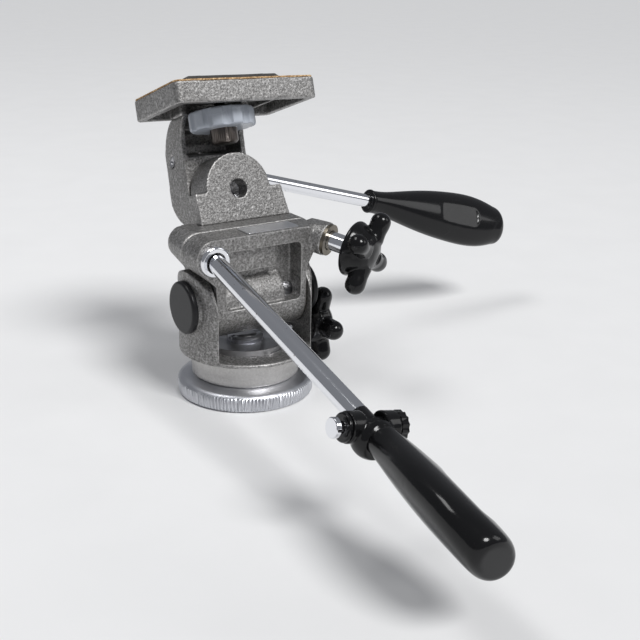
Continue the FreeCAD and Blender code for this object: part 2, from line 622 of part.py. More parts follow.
# Screws and dowels that join the halves
body_screws = []
for seat in screw_seats:
    shank_tip = seat + Vec(0, BODY_FRONT_Y + POCKET_DEPTH + SCREW_TIP_ROOM, 0)
    shank = rod(BODY_SCREW_R, shank_tip, seat + Vec(0, BODY_REAR_Y - HEX_DEPTH, 0))
    head = rod(BODY_HEAD_R, seat + Vec(0, BODY_REAR_Y - BODY_HEAD_H, 0), seat + Vec(0, BODY_REAR_Y, 0))
    hex_hole = rod(BODY_HEAD_R * HEX_SHARE, seat + Vec(0, BODY_REAR_Y - HEX_DEPTH, 0),
                   seat + Vec(0, BODY_REAR_Y + OVERCUT, 0))
    body_screws.append(shank.fuse(head).cut(hex_hole))
parts["body_screws"] = Part.makeCompound(body_screws)
parts["body_dowels"] = Part.makeCompound(dowels)

# Bare name plate, and the rings round the rod and the stub
label = rounded_bar(LABEL_L, LABEL_W, 0, LABEL_T, LABEL_CORNER_R)
label.translate(Vec(LABEL_X, LABEL_Y, BODY_TOP_Z))
parts["name_plate"] = label
ferrule_seat = Vec(HANDLE_ROOT.x, BODY_FRONT_Y, HANDLE_ROOT.z)
ferrule = rod(FERRULE_R, ferrule_seat, ferrule_seat + Vec(0, -FERRULE_H, 0))
ferrule = ferrule.makeFillet(FERRULE_H * 0.4, [e for e in ferrule.Edges
                                               if e.BoundBox.Center.y < BODY_FRONT_Y - FERRULE_H + 0.1])
parts["handle_ferrule"] = ferrule.cut(moved(upright(FERRULE_BORE_R, -20, 20), handle_frame))
knob_ring = upright(RING_R, 0, RING_T).cut(upright(STUB_R + AIR_GAP, -1, RING_T + 1))
parts["stub_ring"] = moved(knob_ring, stub_frame)

# Side stub with its star knob
stub = upright(STUB_R, -STUB_IN, STAR_MID)
parts["side_stub"] = moved(stub, stub_frame)
side_star = star_knob(SIDE_STAR_TURN)
side_star.translate(Vec(0, 0, STAR_MID))
parts["side_knob"] = moved(side_star.cut(stub), stub_frame)

# Front rod: thick outside, a screw through the rear half and a spigot in the cross bar
rod_shape = upright(ROD_R, ROD_SHOULDER_T, BAR_NECK_T).multiFuse([
    upright(ROD_SCREW_R, ROD_SCREW_END_T, ROD_SHOULDER_T),
    upright(ROD_SPIGOT_R, BAR_NECK_T, BAR_NECK_T + ROD_SPIGOT_L)])
parts["front_rod"] = moved(rod_shape.removeSplitter(), handle_frame)

# Cross bar with its neck and left flange, bored for the button's plunger
bar_turned = FreeCAD.Placement(Vec(0, 0, BAR_T), FreeCAD.Rotation(Vec(0, 0, 1), BAR_TURN))
bar_frame = handle_frame.multiply(bar_turned)
flange_x = BAR_HALF_W + BAR_FLANGE_W
bar = rod(BAR_R, Vec(-flange_x, 0, 0), Vec(BAR_HALF_W, 0, 0))
flange = rod(BAR_FLANGE_R, Vec(-flange_x, 0, 0), Vec(-BAR_HALF_W, 0, 0))
flange = flange.makeFillet(FLANGE_FILLET, [e for e in flange.Edges if e.BoundBox.Center.x < -flange_x + 0.1])
bar_neck = upright(ROD_R, BAR_NECK_T - BAR_T, 0)
bar = bar.multiFuse([flange, bar_neck])
bar = bar.cut(upright(ROD_SPIGOT_R + SCREW_FIT, BAR_NECK_T - BAR_T, BAR_NECK_T - BAR_T + ROD_SPIGOT_L))
bar = bar.cut(rod(PLUNGER_R + RUN_FIT, Vec(-flange_x - 1, 0, 0), Vec(SPRING_SEAT_X, 0, 0)))
parts["front_knuckle"] = moved(bar.removeSplitter(), bar_frame)

# Release button with its plunger, and the spring at its pressed length
button_in = -flange_x - BUTTON_TRAVEL - BUTTON_STOP
button = rod(BUTTON_R, Vec(button_in - BUTTON_H, 0, 0), Vec(button_in, 0, 0))
button_rim = [e for e in button.Edges if e.BoundBox.Center.x < button_in - BUTTON_H + EDGE_TOLERANCE]
button = button.makeFillet(BUTTON_H * 0.2, button_rim)
button = button.fuse(rod(PLUNGER_R, Vec(button_in - BUTTON_H / 2, 0, 0), Vec(PLUNGER_END_X, 0, 0)))
parts["release_button"] = moved(button.removeSplitter(), bar_frame)
spring_in = Vec(SPRING_SEAT_X - SPRING_W, 0, 0)
spring = rod(PLUNGER_R, spring_in, Vec(SPRING_SEAT_X, 0, 0))
spring_bore = rod(PLUNGER_R - 2 * SPRING_WIRE_R, spring_in - Vec(OVERCUT, 0, 0), Vec(SPRING_SEAT_X + OVERCUT, 0, 0))
spring = spring.cut(spring_bore)
parts["button_spring"] = moved(spring, bar_frame)

# Ridged disc on the bar's right end
disc_profile = []
for k in range(2 * END_DISC_FLUTES):
    flute_turn = math.pi * k / END_DISC_FLUTES
    flute_r = END_DISC_R if k % 2 == 0 else END_DISC_R - 0.5
    disc_profile.append(Vec(BAR_HALF_W, flute_r * math.cos(flute_turn), flute_r * math.sin(flute_turn)))
parts["knuckle_cap"] = moved(extruded(disc_profile, Vec(END_DISC_T, 0, 0)), bar_frame)

# Grip's hub: a barrel and a ball round the bar, open where the rod's neck swings past
hub_x = BAR_HALF_W - HUB_END_GAP
ball_hub = rod(HUB_R, Vec(-hub_x, 0, 0), Vec(hub_x, 0, 0))
ball = Part.makeSphere(BALL_R, Vec(0, -BALL_DROP, BALL_T - BAR_T))
grip_neck = rod(GRIP_NECK_R, Vec(0, -BALL_DROP, BALL_T - BAR_T), Vec(0, 0, FRONT_GRIP_START_T - BAR_T))
ball_hub = ball_hub.multiFuse([ball, grip_neck])
ball_hub = ball_hub.cut(upright(GRIP_NECK_R * 3, FRONT_GRIP_START_T - BAR_T, FRONT_GRIP_START_T - BAR_T + 20))
ball_hub = ball_hub.cut(rod(BAR_R + RUN_FIT, Vec(-hub_x - 1, 0, 0), Vec(hub_x + 1, 0, 0)))
neck_room = ROD_R + AIR_GAP
ball_hub = ball_hub.cut(box(-neck_room, neck_room, -neck_room, BALL_R * 2, -BALL_R * 2, neck_room))
parts["front_ball"] = moved(ball_hub.removeSplitter(), bar_frame)
front_grip = grip(FRONT_GRIP_L, FRONT_GRIP_ROLL)
front_grip.translate(Vec(0, 0, FRONT_GRIP_START_T))
parts["front_grip"] = moved(front_grip, handle_frame)

# Turret: a foot with shoulders and a dome, with the lateral axle through it
foot = extruded([Vec(FOOT_SHIFT - FOOT_HALF_W, 0, 0), Vec(FOOT_SHIFT + FOOT_HALF_W, 0, 0),
                 Vec(SHOULDER_HALF_W, 0, SHOULDER_Z), Vec(-SHOULDER_HALF_W, 0, SHOULDER_Z)],
                Vec(0, TURRET_DEPTH, 0))
dome = rod(DOME_R, Vec(0, 0, LATERAL_Z), Vec(0, TURRET_DEPTH, LATERAL_Z))
dome = dome.cut(box(-DOME_R, DOME_R, -1, TURRET_DEPTH + 1, -DOME_R, 0))
turret = foot.fuse(dome).removeSplitter()
turret = turret.cut(rod(TURRET_HOLE_R, Vec(0, -1, LATERAL_Z), Vec(0, TURRET_DEPTH, LATERAL_Z)))
axle_seat = rod(LATERAL_AXLE_R, Vec(0, TURRET_HOLE_D, LATERAL_Z), Vec(0, TURRET_DEPTH + OVERCUT, LATERAL_Z))
turret = turret.cut(axle_seat)
for seat in turret_screw_seats:
    turret = turret.cut(upright(TURRET_SCREW_R + SCREW_FIT, -1, TURRET_SCREW_IN, seat.x, seat.y))
parts["turret"] = moved(turret, turret_frame)
turret_screws = []
for seat in turret_screw_seats:
    shank = upright(TURRET_SCREW_R, -SADDLE_EDGE - 1, TURRET_SCREW_IN - 0.5, seat.x, seat.y)
    head_low = -SADDLE_EDGE - TURRET_HEAD_H
    head = upright(TURRET_HEAD_R, head_low, -SADDLE_EDGE, seat.x, seat.y)
    hex_hole = upright(TURRET_HEAD_R * HEX_SHARE, head_low - OVERCUT, head_low + HEX_DEPTH, seat.x, seat.y)
    turret_screws.append(moved(shank.fuse(head).cut(hex_hole), turret_frame))
parts["turret_screws"] = Part.makeCompound(turret_screws)

# Lateral axle with its friction ring, end washer and nut
arm_front_y = TURRET_DEPTH + FRICTION_T
axle = rod(LATERAL_AXLE_R, Vec(0, TURRET_HOLE_D, LATERAL_Z), Vec(0, ARM_REAR_Y + 0.1, LATERAL_Z))
nut_end_y = ARM_REAR_Y + WASHER_T + NUT_T
axle = axle.fuse(rod(AXLE_THREAD_R, Vec(0, ARM_REAR_Y, LATERAL_Z), Vec(0, nut_end_y, LATERAL_Z)))
axle = axle.cut(rod(TURRET_HOLE_R * 0.6, Vec(0, 0, LATERAL_Z), Vec(0, TURRET_HOLE_D + 3, LATERAL_Z)))
parts["lateral_axle"] = moved(axle.removeSplitter(), turret_frame)
friction = rod(DOME_R - 1.2, Vec(0, TURRET_DEPTH, LATERAL_Z), Vec(0, arm_front_y, LATERAL_Z))
friction = friction.cut(rod(LATERAL_AXLE_R + RUN_FIT, Vec(0, 0, LATERAL_Z), Vec(0, BODY_SPAN, LATERAL_Z)))
parts["lateral_friction_ring"] = moved(friction, turret_frame)
end_washer = rod(WASHER_R, Vec(0, ARM_REAR_Y + 0.1, LATERAL_Z), Vec(0, ARM_REAR_Y + WASHER_T, LATERAL_Z))
thread_hole = rod(AXLE_THREAD_R + SCREW_FIT, Vec(0, ARM_REAR_Y - OVERCUT, LATERAL_Z), Vec(0, BODY_SPAN, LATERAL_Z))
end_washer = end_washer.cut(thread_hole)
parts["axle_end_washer"] = moved(end_washer, turret_frame)
end_nut = rod(NUT_R, Vec(0, ARM_REAR_Y + WASHER_T, LATERAL_Z), Vec(0, nut_end_y, LATERAL_Z))
nut_out = [e for e in end_nut.Edges if e.BoundBox.Center.y > nut_end_y - EDGE_TOLERANCE]
end_nut = end_nut.makeChamfer(NUT_CHAMFER, nut_out)
end_nut = end_nut.cut(thread_hole)
parts["axle_end_nut"] = moved(end_nut, turret_frame)

# Goose-neck arm: a hub round the axle, two side walls, a rear web and a cross bar
neck_z = ARM_HEAD_Z - ARM_NECK_DROP
shoulder = Vec(0, ARM_REAR_Y - ARM_SHOULDER_IN, ARM_HEAD_Z - ARM_SHOULDER_DROP)
head_front = Vec(0, ARM_HEAD_FRONT_Y, ARM_HEAD_Z)
head_rear = Vec(0, ARM_HEAD_REAR_Y, ARM_HEAD_Z)
neck = Vec(0, arm_front_y, neck_z)
neck_middle = Vec(0, arm_front_y - ARM_NECK_BULGE, ARM_HEAD_Z - ARM_NECK_MIDDLE)
shoulder_middle = Vec(0, ARM_REAR_Y - ARM_SHOULDER_BULGE, ARM_HEAD_Z - ARM_SHOULDER_MIDDLE)
front_low = Vec(0, arm_front_y, LATERAL_Z - 1.5 * ARM_HALF_W)
rear_low = Vec(0, ARM_REAR_Y, LATERAL_Z - 1.5 * ARM_HALF_W)
rear_mid = Vec(0, ARM_REAR_Y, LATERAL_Z)
head_edges = [Part.LineSegment(front_low, neck).toShape(),
              Part.Arc(neck, neck_middle, head_front).toShape(),
              Part.LineSegment(head_front, head_rear).toShape(),
              Part.Arc(head_rear, shoulder_middle, shoulder).toShape(),
              Part.LineSegment(shoulder, rear_mid).toShape(),
              Part.LineSegment(rear_mid, rear_low).toShape(),
              Part.LineSegment(rear_low, front_low).toShape()]
arm = Part.Face(Part.Wire(head_edges)).extrude(Vec(2 * ARM_HALF_W, 0, 0))
arm.translate(Vec(-ARM_HALF_W, 0, 0))
hub_round = rod(ARM_HALF_W, Vec(0, 0, LATERAL_Z), Vec(0, BODY_SPAN, LATERAL_Z))
arm = arm.common(hub_round.fuse(box(-ARM_HALF_W, ARM_HALF_W, 0, BODY_SPAN, LATERAL_Z, ARM_HEAD_Z)))
bar_z = ARM_HEAD_Z - ARM_BAR_H
web_y = ARM_REAR_Y - ARM_WEB
cavity_points = [(0, ARM_LEDGE_Z - 1.5), (arm_front_y, ARM_LEDGE_Z - 1.5), (web_y - 1.2, ARM_LEDGE_Z + 1.5),
                 (web_y - 1.6, ARM_LEDGE_Z + 5), (web_y - 5.5, bar_z),
                 (ARM_BAR_FRONT_Y, bar_z), (ARM_BAR_FRONT_Y, ARM_HEAD_Z + 1), (0, ARM_HEAD_Z + 1)]
cavity = extruded([Vec(-ARM_HALF_W + ARM_WALL, y, z) for y, z in cavity_points],
                  Vec(2 * (ARM_HALF_W - ARM_WALL), 0, 0))
arm = arm.cut(cavity)
clamp_boss = moved(upright(REAR_BOSS_R, -ARM_WALL, REAR_BOSS_L), aimed(REAR_ROOT, rear_dir))
arm = arm.fuse(clamp_boss)
arm = arm.cut(rod(LATERAL_AXLE_R + RUN_FIT, Vec(0, 0, LATERAL_Z), Vec(0, BODY_SPAN, LATERAL_Z)))
slit_y = arm_front_y + (ARM_REAR_Y - arm_front_y) * 0.4
arm = arm.cut(box(-ARM_SLIT_W / 2, ARM_SLIT_W / 2, slit_y, ARM_REAR_Y + 1, LATERAL_Z, ARM_LEDGE_Z + 2))
clamp_hole = upright(REAR_SCREW_R + SCREW_FIT, -2.5 * ARM_HALF_W, REAR_BOSS_L + 1)
arm = arm.cut(moved(clamp_hole, aimed(REAR_ROOT, rear_dir)))
arm_screw_seats = [Vec(side * ARM_SCREW_X, (ARM_BAR_FRONT_Y + ARM_HEAD_REAR_Y) / 2, 0) for side in (-1, 1)]
for seat in arm_screw_seats:
    arm = arm.cut(upright(ARM_SCREW_R + SCREW_FIT, bar_z + 0.8, ARM_HEAD_Z + 1, seat.x, seat.y))
parts["arm"] = moved(arm.removeSplitter(), arm_frame)

# Set screw in the far end of the clamp hole
wall_s = -2 * ARM_HALF_W / (math.cos(math.radians(REAR_DROOP)) * math.cos(math.radians(REAR_AZIMUTH)))
set_screw = upright(SET_SCREW_R, wall_s, wall_s + SET_SCREW_L)
set_screw = set_screw.cut(upright(SET_SCREW_R * HEX_SHARE, wall_s - OVERCUT, wall_s + HEX_DEPTH))
parts["arm_set_screw"] = moved(set_screw, rear_frame)

# Platform: a shallow tray, hollow below, with lands where the arm meets it
platform_top = ARM_HEAD_Z + PLATFORM_T
mid_x = (PLATFORM_X0 + PLATFORM_X1) / 2
mid_y = (PLATFORM_Y0 + PLATFORM_Y1) / 2
platform_l = PLATFORM_X1 - PLATFORM_X0
platform_w = PLATFORM_Y1 - PLATFORM_Y0
ceiling_z = platform_top - PLATFORM_SKIN
plate = rounded_bar(platform_l, platform_w, ARM_HEAD_Z, platform_top, PLATFORM_CORNER)
hollow = rounded_bar(platform_l - 2 * PLATFORM_RIM, platform_w - 2 * PLATFORM_RIM, ARM_HEAD_Z - 1, ceiling_z,
                     PLATFORM_CORNER)
for shape in (plate, hollow):
    shape.translate(Vec(mid_x, mid_y, 0))
lands = [box(-ARM_HALF_W - 1, ARM_HALF_W + 1, ARM_BAR_FRONT_Y, PLATFORM_Y1, ARM_HEAD_Z, ceiling_z)]
for side in (-1, 1):
    inner = side * (ARM_HALF_W - ARM_WALL)
    outer = side * (ARM_HALF_W + 1)
    land_x = sorted((inner, outer))
    lands.append(box(land_x[0], land_x[1], ARM_HEAD_FRONT_Y, PLATFORM_Y1, ARM_HEAD_Z, ceiling_z))
    rib_x = side * RIB_X
    lands.append(box(rib_x - RIB_W / 2, rib_x + RIB_W / 2, PLATFORM_Y0 + PLATFORM_RIM / 2,
                     PLATFORM_Y1 - PLATFORM_RIM / 2, ceiling_z - RIB_H, ceiling_z + RIB_W / 2))
plate = plate.cut(hollow).multiFuse(lands)
screw_top = platform_top + CORK_T + PAD_T - 0.8
thread_low = screw_top - CAMERA_THREAD_L
camera_hole = upright(CAMERA_SHANK_R + RUN_FIT, ARM_HEAD_Z - 1, platform_top + 1, CAMERA_X, CAMERA_Y)
thread_room = upright(CAMERA_SCREW_R + AIR_GAP, thread_low, platform_top + OVERCUT, CAMERA_X, CAMERA_Y)
camera_hole = camera_hole.fuse(thread_room)
plate = plate.cut(camera_hole)
for seat in arm_screw_seats:
    plate = plate.cut(upright(ARM_SCREW_R + SCREW_FIT, ARM_HEAD_Z - 1, platform_top + 1, seat.x, seat.y))
    plate = plate.cut(upright(ARM_SCREW_HEAD_R + AIR_GAP, platform_top - 2.2, platform_top + 1, seat.x, seat.y))
parts["platform"] = moved(plate.removeSplitter(), arm_frame)
platform_screws = []
for seat in arm_screw_seats:
    shank = upright(ARM_SCREW_R, bar_z + 1, platform_top - 1, seat.x, seat.y)
    head = upright(ARM_SCREW_HEAD_R, platform_top - 2.2, platform_top - 0.1, seat.x, seat.y)
    slot = box(seat.x - 5, seat.x + 5, seat.y - 0.4, seat.y + 0.4, platform_top - 0.9, platform_top + 1)
    platform_screws.append(moved(shank.fuse(head).cut(slot), arm_frame))
parts["platform_screws"] = Part.makeCompound(platform_screws)

# Cork sheet over the whole top, and the bevelled rubber pad
cork = rounded_bar(platform_l - 0.6, platform_w - 0.6, platform_top, platform_top + CORK_T, PLATFORM_CORNER)
cork.translate(Vec(mid_x, mid_y, 0))
pad_hole = upright(CAMERA_SCREW_R + 1.5, platform_top - 1, platform_top + 9, CAMERA_X, CAMERA_Y)
parts["cork_sheet"] = moved(cork.cut(pad_hole), arm_frame)
pad_x0 = PLATFORM_X0 + PAD_FROM_LEFT
pad_x1 = pad_x0 + PAD_L
pad_z0 = platform_top + CORK_T
pad = extruded([Vec(pad_x0, 0, pad_z0), Vec(pad_x1, 0, pad_z0), Vec(pad_x1, 0, pad_z0 + PAD_T * 0.3),
                Vec(pad_x1 - PAD_BEVEL, 0, pad_z0 + PAD_T), Vec(pad_x0 + PAD_BEVEL, 0, pad_z0 + PAD_T),
                Vec(pad_x0, 0, pad_z0 + PAD_T * 0.3)], Vec(0, platform_w - 2 * PAD_MARGIN_Y, 0))
pad.translate(Vec(0, PLATFORM_Y0 + PAD_MARGIN_Y, 0))
parts["rubber_pad"] = moved(pad.cut(pad_hole), arm_frame)

# Captive camera screw: thread, fluted knob, steel stem below and thrust collar above
knob_top = ARM_HEAD_Z
knob_low = knob_top - CAMERA_KNOB_H
camera_knob = upright(CAMERA_KNOB_R, knob_low, knob_top, CAMERA_X, CAMERA_Y)
camera_knob = camera_knob.makeFillet(CAMERA_KNOB_FILLET, camera_knob.Edges[0:1] + camera_knob.Edges[2:3])
for k in range(CAMERA_KNOB_FLUTES):
    turn = 2 * math.pi * k / CAMERA_KNOB_FLUTES
    flute_at = CAMERA_KNOB_R + CAMERA_FLUTE_R * 0.45
    flute_x = CAMERA_X + flute_at * math.cos(turn)
    flute_y = CAMERA_Y + flute_at * math.sin(turn)
    flute = upright(CAMERA_FLUTE_R, knob_low - OVERCUT, knob_top + OVERCUT, flute_x, flute_y)
    camera_knob = camera_knob.cut(flute)
stem_low = knob_low - CAMERA_STEM_H
thread = upright(CAMERA_SCREW_R, thread_low, screw_top, CAMERA_X, CAMERA_Y)
thread = thread.fuse(upright(CAMERA_SHANK_R, stem_low + 2, thread_low, CAMERA_X, CAMERA_Y))
stem = upright(CAMERA_STEM_R, stem_low, knob_low, CAMERA_X, CAMERA_Y)
stem = stem.makeChamfer(CAMERA_STEM_CHAMFER, [e for e in stem.Edges if e.BoundBox.ZMax < stem_low + 0.1])
bore = upright(CAMERA_SHANK_R + SCREW_FIT, stem_low + 2, screw_top, CAMERA_X, CAMERA_Y)
parts["camera_screw"] = moved(thread, arm_frame)
parts["camera_knob"] = moved(camera_knob.cut(bore), arm_frame)
parts["camera_stem"] = moved(stem.cut(bore), arm_frame)
collar = upright(CAMERA_COLLAR_R, knob_top, knob_top + CAMERA_COLLAR_T, CAMERA_X, CAMERA_Y)
collar = collar.cut(upright(CAMERA_SHANK_R + RUN_FIT, knob_top - 1, screw_top, CAMERA_X, CAMERA_Y))
parts["camera_collar"] = moved(collar, arm_frame)

# Rear handle: screw, rod, socket rim and grip
rear_screw = upright(REAR_SCREW_R, wall_s + SET_SCREW_L + 1, REAR_BOSS_L)
rear_rod = upright(REAR_ROD_R, REAR_BOSS_L, REAR_GRIP_START + REAR_ROD_IN_GRIP)
rear_rod = rear_screw.fuse(rear_rod).removeSplitter()
parts["rear_rod"] = moved(rear_rod, rear_frame)
rear_grip = grip(REAR_GRIP_L, REAR_GRIP_ROLL)
rear_grip.translate(Vec(0, 0, REAR_GRIP_START))
rear_grip = rear_grip.cut(upright(REAR_ROD_R + SCREW_FIT, 0, REAR_GRIP_START + REAR_ROD_IN_GRIP))
parts["rear_grip"] = moved(rear_grip, rear_frame)
rim_ring = upright(GRIP_NECK_R + 0.3, REAR_GRIP_START - RIM_L, REAR_GRIP_START)
rim_low = REAR_GRIP_START - RIM_L + EDGE_TOLERANCE
rim_ring = rim_ring.makeFillet(RIM_L / 2, [e for e in rim_ring.Edges if e.BoundBox.ZMax < rim_low])
rim_ring = rim_ring.cut(upright(REAR_ROD_R + SCREW_FIT, 0, REAR_GRIP_START + 1))
parts["rear_socket"] = moved(rim_ring, rear_frame)

os.makedirs("parts", exist_ok=True)
for name, shape in parts.items():
    shape.exportStep("parts/" + name + ".step")
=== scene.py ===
"""Looks of the three-way pan tilt head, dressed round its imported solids."""
import json
import logging
import math
from dataclasses import dataclass, field
from enum import Enum
from typing import Dict, List, Optional, Sequence, Tuple, Union

import bpy
from mathutils import Matrix, Vector


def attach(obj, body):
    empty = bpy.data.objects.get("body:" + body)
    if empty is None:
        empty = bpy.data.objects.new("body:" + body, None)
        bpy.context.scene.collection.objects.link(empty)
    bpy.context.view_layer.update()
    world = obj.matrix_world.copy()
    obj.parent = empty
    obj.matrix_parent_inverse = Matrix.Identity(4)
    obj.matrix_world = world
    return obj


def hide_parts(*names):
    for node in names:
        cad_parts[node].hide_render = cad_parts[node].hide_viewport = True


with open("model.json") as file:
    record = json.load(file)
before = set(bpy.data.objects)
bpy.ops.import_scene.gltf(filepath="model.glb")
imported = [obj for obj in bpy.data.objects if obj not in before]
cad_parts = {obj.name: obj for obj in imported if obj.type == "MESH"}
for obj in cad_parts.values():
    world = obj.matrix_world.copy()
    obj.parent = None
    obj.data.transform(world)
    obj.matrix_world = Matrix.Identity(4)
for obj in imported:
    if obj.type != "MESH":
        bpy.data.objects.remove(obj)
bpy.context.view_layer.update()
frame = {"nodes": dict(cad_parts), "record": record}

log = logging.getLogger("pan_tilt_head")

MM = 0.001
SOLID_WELD = 0.004 * MM
TURNED_WELD = 0.002 * MM
QUARTER_TURN = math.radians(90)
Triple = Tuple[float, float, float]
Colour = Tuple[float, float, float, float]
Ring = Tuple[float, float]


# ---------------------------------------------------------------- shader graphs

class Signal:
    """A node socket whose operators add Math nodes to its graph."""

    def __init__(self, graph: "NodeGraph", socket: bpy.types.NodeSocket) -> None:
        """Keep the socket and the graph that it belongs to."""
        self.graph = graph
        self.socket = socket

    def _with(self, operation: str, first: "Value", second: "Value") -> "Signal":
        """Join two values through one Math node."""
        return self.graph.math(operation, first, second)

    def __add__(self, other: "Value") -> "Signal":
        """Sum of two values."""
        return self._with("ADD", self, other)

    __radd__ = __add__

    def __sub__(self, other: "Value") -> "Signal":
        """This value less another."""
        return self._with("SUBTRACT", self, other)

    def __rsub__(self, other: "Value") -> "Signal":
        """Another value less this one."""
        return self._with("SUBTRACT", other, self)

    def __mul__(self, other: "Value") -> "Signal":
        """Product of two values."""
        return self._with("MULTIPLY", self, other)

    __rmul__ = __mul__

    def __pow__(self, other: "Value") -> "Signal":
        """This value to a power."""
        return self._with("POWER", self, other)

    def above(self, edge: float, softness: float) -> "Signal":
        """Mask that rises from 0 to 1 round an edge.

        Args:
            edge: value at which the mask is half way.
            softness: half the width of the rise.

        Returns:
            The mask, between 0 and 1.
        """
        return self.graph.node("ShaderNodeMapRange", {"clamp": True},
                               {"Value": self, "From Min": edge - softness,
                                "From Max": edge + softness}, "Result")


Value = Union[Signal, float]


class NodeGraph:
    """A node tree that is built from plain values and signals."""

    def __init__(self, tree: bpy.types.NodeTree) -> None:
        """Empty a tree and keep it."""
        self.tree = tree
        self.tree.nodes.clear()

    def node(self, kind: str, settings: Dict[str, object], inputs: Dict[Union[str, int], object],
             output: Union[str, int] = 0) -> Signal:
        """Add a node, set it up, and feed its sockets.

        Args:
            kind: node type's identifier.
            settings: properties set first; "stops" holds a ramp's (place, colour) pairs.
            inputs: values or signals for the sockets.
            output: name or number of the output wanted.

        Returns:
            The signal at that output.
        """
        made = self.tree.nodes.new(kind)
        for key, value in settings.items():
            if key == "stops":
                self._stops(made.color_ramp, value)
            else:
                setattr(made, key, value)
        for key, value in inputs.items():
            if isinstance(value, Signal):
                self.tree.links.new(value.socket, made.inputs[key])
            else:
                made.inputs[key].default_value = value
        return Signal(self, made.outputs[output])

    @staticmethod
    def _stops(ramp: bpy.types.ColorRamp, stops: Sequence[Tuple[float, Colour]]) -> None:
        """Give a ramp its stops."""
        while len(ramp.elements) < len(stops):
            ramp.elements.new(0.5)
        for element, (place, colour) in zip(ramp.elements, stops):
            element.position = place
            element.color = colour

    def math(self, operation: str, first: Value, second: Value = 0.0) -> Signal:
        """Math node on two values."""
        return self.node("ShaderNodeMath", {"operation": operation}, {0: first, 1: second})

    def lead_out(self, kind: str, shader: Signal) -> None:
        """Lead a shader to the tree's output node."""
        output = self.tree.nodes.new(kind)
        self.tree.links.new(shader.socket, output.inputs["Surface"])


class Graph(NodeGraph):
    """A material with one Principled shader and the nodes that feed it."""

    def __init__(self, name: str) -> None:
        """Make an empty material with its shader and its output."""
        self.material = bpy.data.materials.new(name)
        self.material.use_nodes = True
        super().__init__(self.material.node_tree)
        shader = self.node("ShaderNodeBsdfPrincipled", {}, {}, "BSDF")
        self.sockets = shader.socket.node.inputs
        self.lead_out("ShaderNodeOutputMaterial", shader)
        self.place = self.node("ShaderNodeTexCoord", {}, {}, "Object")

    def noise(self, scale: float, detail: float = 2.0, roughness: float = 0.5,
              place: Optional[Signal] = None) -> Signal:
        """Noise over the piece.

        Args:
            scale: waves in a metre.
            detail: number of finer layers.
            roughness: share of the finer layers.
            place: coordinates, where they aren't the piece's own.

        Returns:
            The noise, between 0 and 1.
        """
        return self.node("ShaderNodeTexNoise", {},
                         {"Vector": place or self.place, "Scale": scale, "Detail": detail,
                          "Roughness": roughness}, "Fac")

    def cells(self, scale: float, feature: str = "F1", place: Optional[Signal] = None,
              output: str = "Distance") -> Signal:
        """Cell pattern over the piece.

        Args:
            scale: cells in a metre.
            feature: what is measured in each cell.
            place: coordinates, where they aren't the piece's own.
            output: name of the output wanted.

        Returns:
            The distance, or the cell's own colour.
        """
        return self.node("ShaderNodeTexVoronoi", {"feature": feature},
                         {"Vector": place or self.place, "Scale": scale}, output)

    def stretched(self, scale: Triple, turn: Triple) -> Signal:
        """Object coordinates, turned and stretched for streaks."""
        return self.node("ShaderNodeMapping", {},
                         {"Vector": self.place, "Scale": scale, "Rotation": turn})

    def axis(self, name: str) -> Signal:
        """One coordinate of the piece."""
        return self.node("ShaderNodeSeparateXYZ", {}, {"Vector": self.place}, name)

    def radius(self) -> Signal:
        """Distance from the pan axis."""
        across, along = self.axis("X"), self.axis("Y")
        return (across * across + along * along) ** 0.5

    def pointiness(self) -> Signal:
        """Sharpness of the surface, about one half where it is flat."""
        return self.node("ShaderNodeNewGeometry", {}, {}, "Pointiness")

    def colours(self, share: Signal, stops: Sequence[Tuple[float, Colour]]) -> Signal:
        """Colour ramp over a value."""
        return self.node("ShaderNodeValToRGB", {"stops": stops}, {"Fac": share}, "Color")

    def blend(self, share: Value, low: object, high: object) -> Signal:
        """Mix of two colours."""
        return self.node("ShaderNodeMix", {"data_type": "RGBA"}, {0: share, 6: low, 7: high}, 2)

    def bump(self, height: Signal, strength: float, depth: float) -> None:
        """Feed the shader's normal from a height.

        Args:
            height: the relief, between 0 and 1.
            strength: how much of the relief is felt.
            depth: height of the relief, in metres.
        """
        normal = self.node("ShaderNodeBump", {}, {"Height": height, "Strength": strength,
                                                  "Distance": depth}, "Normal")
        self.feed("Normal", normal)

    def feed(self, socket: str, value: object) -> None:
        """Set a shader socket to a plain value, or link a signal to it."""
        if isinstance(value, Signal):
            self.tree.links.new(value.socket, self.sockets[socket])
        else:
            self.sockets[socket].default_value = value


def grey(level: float, warmth: float = 0.0) -> Colour:
    """Opaque grey, tinted warm where warmth is above zero."""
    return (level * (1 + warmth), level, level * (1 - warmth), 1.0)


def opaque(tone: Sequence[float]) -> Colour:
    """Colour of a tone that lets nothing through."""
    return (tone[0], tone[1], tone[2], 1.0)


# ---------------------------------------------------------------- finishes

